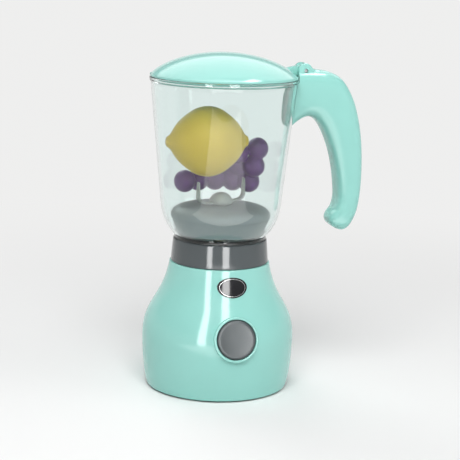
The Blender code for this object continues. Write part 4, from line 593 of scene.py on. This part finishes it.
def seat_dome():
    """The dome that closes the jar: a level middle, a Bezier shoulder and a flared wall, turned about Z."""
    shoulder_z, crown_z = SEAT_Z + 11.5, SEAT_TOP_Z - 2.3
    foot = float(radius_at(JAR_INSIDE, SEAT_Z)) - 0.5
    shoulder = float(radius_at(JAR_INSIDE, shoulder_z)) - 3.6
    fall = [(13.0, crown_z), (29.0, crown_z), (shoulder, crown_z - 1.8), (shoulder, shoulder_z)]
    foot_rows = [(foot, SEAT_Z + 2), (foot, SEAT_Z)]
    outside = np.vstack([[(SEAT_BORE_RADIUS, crown_z)], bezier(fall, 24), foot_rows])
    inside = [(foot - SEAT_WALL, SEAT_Z), (shoulder - SEAT_WALL, shoulder_z)]
    inside += [(25.5, crown_z - SEAT_WALL), (SEAT_BORE_RADIUS, crown_z - SEAT_WALL)]
    outline = np.vstack([outside, inside])
    return mesh_object("seat_dome", [ring(rounded(outline, SEAT_EDGE), ROUND_STEPS)])


def blades():
    """The blade set: a hub with a Bezier dome, turned about Z, and two arms that run out and bend up."""
    low, crown, pocket = BLADE_Z - 2.4, BLADE_Z + 6.0, BLADE_Z + 4.4
    radius, lip, shaft_radius = BLADE_HUB_RADIUS, 1.7, 2.3
    dome = bezier([(0, crown), (4.4, crown), (7.6, crown - 2.9), (radius, BLADE_Z - 0.1)], 14)
    under = [(radius, low), (radius - lip, low), (radius - lip, BLADE_Z)]
    under += [(shaft_radius, BLADE_Z), (shaft_radius, pocket), (0, pocket)]
    hub = turned(rounded(np.vstack([dome, under]), BLADE_HUB_EDGE, closed=False), SMALL_ROUND_STEPS)
    run = low + 1.1
    bend = bezier([(6.0, run), (17.8, run), (ARM_REACH, run + 0.3), (ARM_REACH, run + 6.4)], 16)
    path = smooth_rows(np.vstack([bend, [(ARM_REACH, run + 11.0), (ARM_REACH, run + ARM_RISE)]]), 3)
    rise = np.clip((path[:, 1] - run) / 16, 0, 1)
    arm = ribbon(path, width=4.8 - 1.8 * rise, thickness=1.6 - 0.5 * rise)
    return mesh_object("blade_arms", [hub] + [turned_about_z(arm, BLADE_TURN + turn) for turn in (0, 180)])


def lemon_skin():
    """The lemon: a smooth profile with a nub at each end, turned about X.

    Waves of sin(5 a) and sin(3 a), which shift along the lemon, vary its radius by about 1%.
    """
    half = [(LEMON_LENGTH / 2, 0), (30.3, 1.8), (29.5, 3.6), (28.0, 4.7), (26.4, 6.6), (24.2, 10.2)]
    half += [(20.6, 14.9), (15.2, 19.6), (8.0, 24.0), (0, 25.5)]
    rows = smooth_rows(half + [(-x, r) for x, r in half[-2::-1]], 6)
    angle = np.linspace(0, 2 * np.pi, SMALL_ROUND_STEPS, endpoint=False)
    along, radius = rows[:, :1], np.maximum(rows[:, 1:], 0)
    wave = 1 + 0.006 * np.sin(5 * angle + along / 9) + 0.005 * np.sin(3 * angle - along / 6)
    r = np.minimum(radius * wave, LEMON_HEIGHT / 2)
    grid = np.stack([along + 0 * r, r * np.cos(angle), r * np.sin(angle)], -1)
    return mesh_object("lemon_skin", [grid + middle("lemon")])


def grape_bunch():
    """The bunch: balls in rows along the jar's back wall, melted together and smoothed at their creases.

    A row has its height in pitches, its share of the room to the wall, its first angle and its count. The
    wall is taken in the middle of the CAD jar's flats.
    """
    spots = []
    for rise, share, first, count in GRAPE_ROWS:
        height = GRAPE_Z + rise * GRAPE_PITCH
        wall = float(radius_at(JAR_INSIDE, height - GRAPE_RADIUS / 2)) * math.cos(math.pi / CAD_JAR_FLATS)
        reach = (wall - GRAPE_RADIUS - GAP) * share
        angle = np.radians(first + GRAPE_SPREAD * np.arange(count))
        spots.append(np.stack([reach * np.cos(angle), reach * np.sin(angle), np.full(count, height)], -1))
    turn = np.linspace(0, np.pi, 17)
    ball = (GRAPE_RADIUS - 0.05) * turned(np.stack([np.sin(turn), np.cos(turn)], -1), 32)
    bunch = mesh_object("grape_bunch", [spot + ball for spot in np.vstack(spots)])
    melt = bunch.modifiers.new("Melt", "REMESH")
    melt.mode = "VOXEL"
    melt.voxel_size = 0.6 * MM
    smooth = bunch.modifiers.new("Smooth", "SMOOTH")
    smooth.factor = 0.5
    smooth.iterations = 4
    return applied(bunch)


dress(jar_wall(), CLEAR, "jar", "clear_plastic", "jar")
dress(collar_ring(), COLLAR_GREY, "jar", "dark_grey_plastic", "jar_collar")
dress(seat_dome(), SEAT_GREY, "jar", "mid_grey_plastic", "blade_seat")
dress(blades(), BLADE_GREY, "blade", "mid_grey_plastic", "blade_set")
dress(lemon_skin(), LEMON, "jar", "lemon_plastic", "lemon")
dress(grape_bunch(), GRAPE, "jar", "grape_plastic", "grapes", sharp=math.radians(80))


# Handle

HANDLE_X, HANDLE_Z = 44.9, 116.3
HANDLE_SPAN, HANDLE_DROP, HANDLE_THICKNESS = 62.7, 121.0, 25.0

# Each rib's inner x and z and outer x and z, as shares of the span and the drop, and its thickness share
HANDLE_RIB_SHARES = (
    (0.000, 0.601, 0.000, 0.992, 1.00),
    (0.145, 0.674, 0.161, 0.998, 1.00),
    (0.273, 0.711, 0.344, 1.000, 1.00),
    (0.373, 0.702, 0.544, 0.988, 1.00),
    (0.451, 0.665, 0.711, 0.941, 1.00),
    (0.525, 0.599, 0.844, 0.837, 1.00),
    (0.585, 0.526, 0.923, 0.717, 1.00),
    (0.630, 0.452, 0.971, 0.588, 1.00),
    (0.667, 0.365, 0.993, 0.456, 1.00),
    (0.692, 0.274, 0.996, 0.336, 1.00),
    (0.700, 0.204, 0.985, 0.229, 1.00),
    (0.675, 0.141, 0.959, 0.138, 1.00),
    (0.624, 0.107, 0.914, 0.070, 0.99),
    (0.601, 0.077, 0.853, 0.021, 0.93),
    (0.614, 0.047, 0.783, 0.002, 0.78),
    (0.656, 0.024, 0.722, 0.005, 0.42),
)
SCREW_SHARES = ((0.50, 0.86), (0.845, 0.55), (0.845, 0.15))
HANDLE_SCREWS = [(HANDLE_X + x * HANDLE_SPAN, HANDLE_Z + z * HANDLE_DROP) for x, z in SCREW_SHARES]
SCREW_WELL_RADIUS = 3.2
SCREW_WELL_Y = 8.0
SEAM_Y = 0.12
MOUND_RADIUS = 5.4
MOUND_Z = JAR_TOP_Z
MOUND_FLAT_Y = 6.0
MOUND_END_Y = 10.8
SLOT_Y = 3.4
SLOT_END_X = 65.6
PIN_HOLE_RADIUS = 1.5
BEYOND_Y = 16


def hook_body(name):
    """The hook: superellipse sections, each from its rib's inner to its outer point and thick along Y."""
    ribs = smooth_rows(HANDLE_RIB_SHARES, 6)
    inner = np.array((HANDLE_X, HANDLE_Z)) + ribs[:, :2] * (HANDLE_SPAN, HANDLE_DROP)
    outer = np.array((HANDLE_X, HANDLE_Z)) + ribs[:, 2:4] * (HANDLE_SPAN, HANDLE_DROP)
    across, out = superellipse(56, 3.2).T
    share = (1 + across) / 2
    flat = inner[:, None] + (outer - inner)[:, None] * share[None, :, None]
    y = ribs[:, 4, None] * HANDLE_THICKNESS / 2 * out
    return mesh_object(name, [capped(np.stack([flat[..., 0], y, flat[..., 1]], -1))])


def across_cylinder(name, radius, spot, low, high):
    """A plain cutter along Y through an (x, z) spot."""
    grid = turned(np.array([(0, low), (radius, low), (radius, high), (0, high)]), 48)
    turn = Matrix.Translation((spot[0], 0, spot[1])) @ Matrix.Rotation(math.radians(-90), 4, "X")
    return mesh_object(name, [placed(grid, turn)])


def block(name, low, high):
    """A box-shaped cutter."""
    (x0, y0, z0), (x1, y1, z1) = low, high
    loop = np.array([(x0, y0), (x1, y0), (x1, y1), (x0, y1)])
    rows = [np.column_stack([loop, np.full(4, z)]) for z in (z0, z1)]
    return mesh_object(name, [capped(np.stack(rows))])


def jar_room():
    """What the handle stands clear of, turned about Z: the lid's room, and the jar's side with a gap."""
    side = JAR_SIDE[JAR_SIDE[:, 1] > 137] + (GAP, 0)
    lid_room, low, high = LID_RADIUS + 1.0, LID_Z - 3.0, LID_Z + 12.0
    outline = np.vstack([[(0, high), (lid_room, high), (lid_room, low)], side, [(0, side[-1, 1])]])
    return mesh_object("jar_room", [turned(outline)])


def hinge_mound():
    """The hump over the pin: a round outline with a fillet down to the crest, carried along Y.

    Past MOUND_FLAT_Y its height over MOUND_Z falls to nothing as a smooth step, up to MOUND_END_Y.
    """
    angle = np.radians(np.linspace(180, 35, 30))
    hump = np.array((HINGE_X, HINGE_Z)) + MOUND_RADIUS * np.stack([np.cos(angle), np.sin(angle)], -1)
    crest, bottom_z = (71.4, 236.9), 228.0
    fall = bezier([hump[-1], hump[-1] + (2.2, -3.2), (68.5, 237.8), crest], 12)
    outline = np.vstack([hump, fall[1:], [(crest[0], bottom_z), (HINGE_X - MOUND_RADIUS, bottom_z)]])
    y = np.linspace(-MOUND_END_Y, MOUND_END_Y, 71)
    t = np.clip((np.abs(y) - MOUND_FLAT_Y) / (MOUND_END_Y - MOUND_FLAT_Y), 0, 1)
    height = 1 - t**2 * (3 - 2 * t)
    over = outline[:, 1] - MOUND_Z
    z = np.where(over > 0, MOUND_Z + over * height[:, None], outline[:, 1])
    x, y = outline[:, 0] + 0 * z, y[:, None] + 0 * z
    return mesh_object("hinge_mound", [capped(np.stack([x, y, z], -1))])


def handle_half(side):
    """One moulded half of the hook, with its knuckle and, at the back, the screws' wells."""
    word = "front" if side < 0 else "back"
    half = hook_body(f"handle_{word}_skin")
    combine(half, [hinge_mound()], "UNION")
    slot = block("tongue_slot", (40, -SLOT_Y, MOUND_Z), (SLOT_END_X, SLOT_Y, 250))
    pin_hole = across_cylinder("pin_hole", PIN_HOLE_RADIUS, (HINGE_X, HINGE_Z), -BEYOND_Y, BEYOND_Y)
    near_y, far_y = sorted((-side * BEYOND_Y, side * SEAM_Y))
    other_half = block("other_half", (38, near_y, 110), (112, far_y, 250))
    combine(half, [slot, pin_hole, jar_room(), other_half])
    if side > 0:
        for spot in HANDLE_SCREWS:
            combine(half, [across_cylinder("screw_well", SCREW_WELL_RADIUS, spot, SCREW_WELL_Y, BEYOND_Y)])
    return half


for handle_side, node in ((-1, "handle_front"), (1, "handle_back")):
    dress(handle_half(handle_side), AQUA, "jar", "aqua_plastic", node)


# Lid

LID_WALL = 2.0
LID_CROWN = LID_TOP_Z - LID_Z
LID_POWER = 0.714
LID_EDGE = 0.4
SKIRT_RADIUS = 50.6
SKIRT_WALL = 1.6
SKIRT_DEPTH = 2.4
EYE_RADIUS = 4.8
TONGUE_Y = 3.0
TONGUE_EDGE = 0.7


def dome_rows(radius, crown, share):
    """The points (r, z) of a dome, where z = LID_Z + crown (1 - share^2)^LID_POWER and r = radius share."""
    return np.stack([radius * share, LID_Z + crown * (1 - share**2) ** LID_POWER], -1)


def lid_dome():
    """The lid: a dome, a second one LID_WALL under it, a rounded rim and a skirt, turned about Z."""
    top = dome_rows(LID_RADIUS, LID_CROWN, np.sin(np.linspace(0, np.pi / 2, 48)))
    rim = bezier([top[-3], (LID_RADIUS, LID_Z + 2.2), (LID_RADIUS, LID_Z + 1.2), (LID_RADIUS, LID_Z)], 8)
    skirt_z, skirt_inside, radius = LID_Z - SKIRT_DEPTH, SKIRT_RADIUS - SKIRT_WALL, LID_RADIUS - LID_WALL
    skirt = [(SKIRT_RADIUS, LID_Z), (SKIRT_RADIUS, skirt_z), (skirt_inside, skirt_z)]
    turn = np.linspace(math.asin(skirt_inside / radius), 0, 30)
    under = dome_rows(radius, LID_CROWN - LID_WALL, np.sin(turn))
    outline = np.vstack([top[:-3], rim, skirt, under])
    return mesh_object("lid_dome", [turned(rounded(outline, LID_EDGE, closed=False, least_turn=40))])


def lid_tongue():
    """The hinge tongue: a round eye about the pin with an arm to the dome, carried along Y and rounded."""
    angle = np.radians(np.linspace(125, -52, 30))
    eye = np.array((HINGE_X, HINGE_Z)) + EYE_RADIUS * np.stack([np.cos(angle), np.sin(angle)], -1)
    outline = np.vstack([eye, [(51.4, HINGE_Z - 3.8), (45.2, HINGE_Z + 1.2)]])
    return mesh_object("lid_tongue_skin", [plate(outline, -TONGUE_Y, TONGUE_Y, TONGUE_EDGE)])


dress(lid_dome(), AQUA, "lid", "aqua_plastic", "lid")
dress(lid_tongue(), AQUA, "lid", "aqua_plastic")


# Stage, camera and lights, in metres

BACKDROP = (0.86, 0.86, 0.855, 1)
FLOOR_COLOUR = (0.82, 0.82, 0.815, 1)
FLOOR_REACH = 9.0
FLOOR_FADE = (0.12, 0.75)
HORIZON_FADE = (0.17, 0.26)
SKY_COLOUR = (0.86, 0.87, 0.88, 1)
SKY_STRENGTH = 0.35

CAMERA_AZIMUTH, CAMERA_ELEVATION, CAMERA_ROLL = map(math.radians, (-15, 11.5, 1.65))
CAMERA_HEIGHT = 0.1173
CAMERA_DISTANCE = 1.04717
CAMERA_SHIFT = 0.00738
CAMERA_LENS = 110.0
CAMERA_SENSOR = 36.0

# Watts per metre of a strip's width, and the pieces that the near strips light
STRIP_POWER = 12
JAR_STRIP_POWER = 35
STRIP_PIECES = ("base_bell", "button_bezel", "button_cap", "badge_plate", "badge_border", "collar_ring")


def seen_share(tree, mask):
    """The mask for camera, glossy and transmission rays, and nothing for the others."""
    path = tree.nodes.new("ShaderNodeLightPath")

    def of_two(operation, first, second):
        """What a math node makes of two sockets."""
        node = tree.nodes.new("ShaderNodeMath")
        node.operation = operation
        tree.links.new(first, node.inputs[0])
        tree.links.new(second, node.inputs[1])
        return node.outputs[0]

    seen = of_two("MAXIMUM", path.outputs["Is Camera Ray"], path.outputs["Is Glossy Ray"])
    return of_two("MULTIPLY", mask, of_two("MAXIMUM", seen, path.outputs["Is Transmission Ray"]))


def smooth_step(tree, value, ends, results=(0.0, 1.0)):
    """The first result up to the first end, the second from the other end on, and a smooth step between."""
    step = tree.nodes.new("ShaderNodeMapRange")
    step.interpolation_type = "SMOOTHSTEP"
    for socket, number in zip(("From Min", "From Max", "To Min", "To Max"), (*ends, *results)):
        step.inputs[socket].default_value = number
    tree.links.new(value, step.inputs["Value"])
    return step.outputs["Result"]


def floor_material():
    """A pale sheet that keeps the shadow near the blender and fades with distance to an even backdrop.

    The fade is a smooth step of the distance from the axis, for camera, glossy and transmission rays alone.
    """
    material = new_material("Pale floor", Base_Color=FLOOR_COLOUR, Roughness=0.7, Specular_IOR_Level=0.0)
    tree = material.node_tree
    nodes, links = tree.nodes, tree.links
    far = nodes.new("ShaderNodeVectorMath")
    far.operation = "LENGTH"
    links.new(nodes.new("ShaderNodeTexCoord").outputs["Object"], far.inputs[0])
    glow = nodes.new("ShaderNodeEmission")
    glow.inputs["Color"].default_value = BACKDROP
    mix = nodes.new("ShaderNodeMixShader")
    links.new(seen_share(tree, smooth_step(tree, far.outputs["Value"], FLOOR_FADE)), mix.inputs["Fac"])
    links.new(nodes["Principled BSDF"].outputs["BSDF"], mix.inputs[1])
    links.new(glow.outputs["Emission"], mix.inputs[2])
    links.new(mix.outputs["Shader"], nodes["Material Output"].inputs["Surface"])
    return material


def stage_floor():
    """A wide pale sheet under the blender."""
    corners = [(-1, -1), (1, -1), (1, 1), (-1, 1)]
    mesh = bpy.data.meshes.new("floor")
    mesh.from_pydata([(x * FLOOR_REACH, y * FLOOR_REACH, 0) for x, y in corners], [], [(0, 1, 2, 3)])
    floor = bpy.data.objects.new("floor", mesh)
    bpy.context.scene.collection.objects.link(floor)
    mesh.materials.append(floor_material())


def direction(azimuth, elevation):
    """The unit vector (sin a cos e, -cos a cos e, sin e): azimuth 0 in front, 90 degrees at the handle."""
    flat = math.cos(elevation)
    return Vector((math.sin(azimuth) * flat, -math.cos(azimuth) * flat, math.sin(elevation)))


def camera():
    """The photograph's view: 15 degrees to the left of the front and 11.5 degrees above it."""
    back = direction(CAMERA_AZIMUTH, CAMERA_ELEVATION)
    level = Vector((math.cos(CAMERA_AZIMUTH), math.sin(CAMERA_AZIMUTH), 0))
    upright = back.cross(level).normalized()
    right = level * math.cos(CAMERA_ROLL) + upright * math.sin(CAMERA_ROLL)
    up = upright * math.cos(CAMERA_ROLL) - level * math.sin(CAMERA_ROLL)
    place = Vector((0, 0, CAMERA_HEIGHT)) + back * CAMERA_DISTANCE + right * CAMERA_SHIFT
    data = bpy.data.cameras.new("camera")
    data.lens = CAMERA_LENS
    data.sensor_width = CAMERA_SENSOR
    obj = bpy.data.objects.new("camera", data)
    obj.matrix_world = Matrix.Translation(place) @ Matrix((right, up, back)).transposed().to_4x4()
    bpy.context.scene.collection.objects.link(obj)
    bpy.context.scene.camera = obj


def lamp(name, azimuth, elevation, distance, size, power, aim=0.12, gloss=True, diffuse=True, flat=False):
    """A soft box that looks at the axis at the height aim, or lies flat and looks up."""
    azimuth, elevation = math.radians(azimuth), math.radians(elevation)
    away = direction(azimuth, elevation)
    data = bpy.data.lights.new(name, "AREA")
    data.shape = "RECTANGLE"
    data.size, data.size_y = size
    data.energy = power
    obj = bpy.data.objects.new(name, data)
    obj.location = Vector((0, 0, aim)) + away * distance
    obj.rotation_mode = "QUATERNION"
    if flat:
        turn = Matrix.Rotation(azimuth, 3, "Z") @ Matrix.Rotation(math.pi, 3, "X")
        obj.rotation_quaternion = turn.to_quaternion()
    else:
        obj.rotation_quaternion = away.to_track_quat("Z", "Y")
    obj.visible_camera = False
    obj.visible_glossy = gloss
    obj.visible_diffuse = diffuse
    obj.visible_transmission = diffuse
    bpy.context.scene.collection.objects.link(obj)
    return obj


def keep_on(lamp_object, *names):
    """Lets a lamp light only the named pieces."""
    lit = bpy.data.collections.new(f"lit_by_{lamp_object.name}")
    for name in names:
        lit.objects.link(bpy.data.objects[name])
    lamp_object.light_linking.receiver_collection = lit


def lights():
    """The lamps: a key above, fills at the handle's side and behind, and boxes that only reflections show.

    The strips mark the bell and the collar, and two more the jar. The front and small boxes give the lid's
    rim and the handle's crest their highlights, the box behind lights the lid's crown, and the flat panel
    in front lays a soft band on the jar.
    """
    lamp("key_box", -14, 50, distance=1.3, size=(0.9, 0.9), power=15.4, gloss=False)
    lamp("fill_box", 60, 25, distance=1.4, size=(0.9, 0.9), power=3.5, gloss=False)
    for side, azimuth, width in (("left", -36.4, 0.20), ("right", 0.5, 0.26)):
        near = lamp(
            f"strip_{side}",
            azimuth,
            0,
            distance=0.5,
            size=(width / 2, 0.65),
            power=STRIP_POWER * width,
            aim=0.33,
            diffuse=False,
        )
        keep_on(near, *STRIP_PIECES)
        far = lamp(
            f"jar_strip_{side}",
            azimuth,
            21,
            distance=1.0,
            size=(width, 1.0),
            power=JAR_STRIP_POWER * width,
            diffuse=False,
        )
        keep_on(far, "jar_wall")
    lamp("front_box", -15, 76, distance=1.2, size=(1.6, 0.4), power=8, diffuse=False)
    lamp("small_box", 64, 66, distance=1.2, size=(0.42, 0.22), power=4.6, diffuse=False)
    lamp("top_box", 180, 57.5, distance=1.5, size=(3.4, 1.7), power=29, diffuse=False)
    lamp(
        "jar_panel",
        -9.4,
        0,
        distance=0.41,
        size=(0.54, 0.50),
        power=2.1,
        aim=0.002,
        diffuse=False,
        flat=True,
    )
    lamp("back_fill", 195, 38, distance=1.5, size=(1.0, 1.0), power=8.0, gloss=False)


def surroundings():
    """A dim even sky; what looks at it near the horizon sees the floor's backdrop.

    The change between them is a smooth step of the direction's height.
    """
    world = bpy.data.worlds.new("studio")
    world.use_nodes = True
    tree = world.node_tree
    nodes, links = tree.nodes, tree.links
    sky = nodes["Background"]
    sky.inputs["Color"].default_value = SKY_COLOUR
    sky.inputs["Strength"].default_value = SKY_STRENGTH
    backdrop = nodes.new("ShaderNodeBackground")
    backdrop.inputs["Color"].default_value = BACKDROP
    height = nodes.new("ShaderNodeSeparateXYZ")
    links.new(nodes.new("ShaderNodeTexCoord").outputs["Generated"], height.inputs[0])
    low = smooth_step(tree, height.outputs["Z"], HORIZON_FADE, results=(1.0, 0.0))
    mix = nodes.new("ShaderNodeMixShader")
    links.new(seen_share(tree, low), mix.inputs["Fac"])
    links.new(sky.outputs["Background"], mix.inputs[1])
    links.new(backdrop.outputs["Background"], mix.inputs[2])
    links.new(mix.outputs["Shader"], nodes["World Output"].inputs["Surface"])
    bpy.context.scene.world = world


stage_floor()
camera()
lights()
surroundings()
bpy.context.scene.view_settings.view_transform = "Standard"
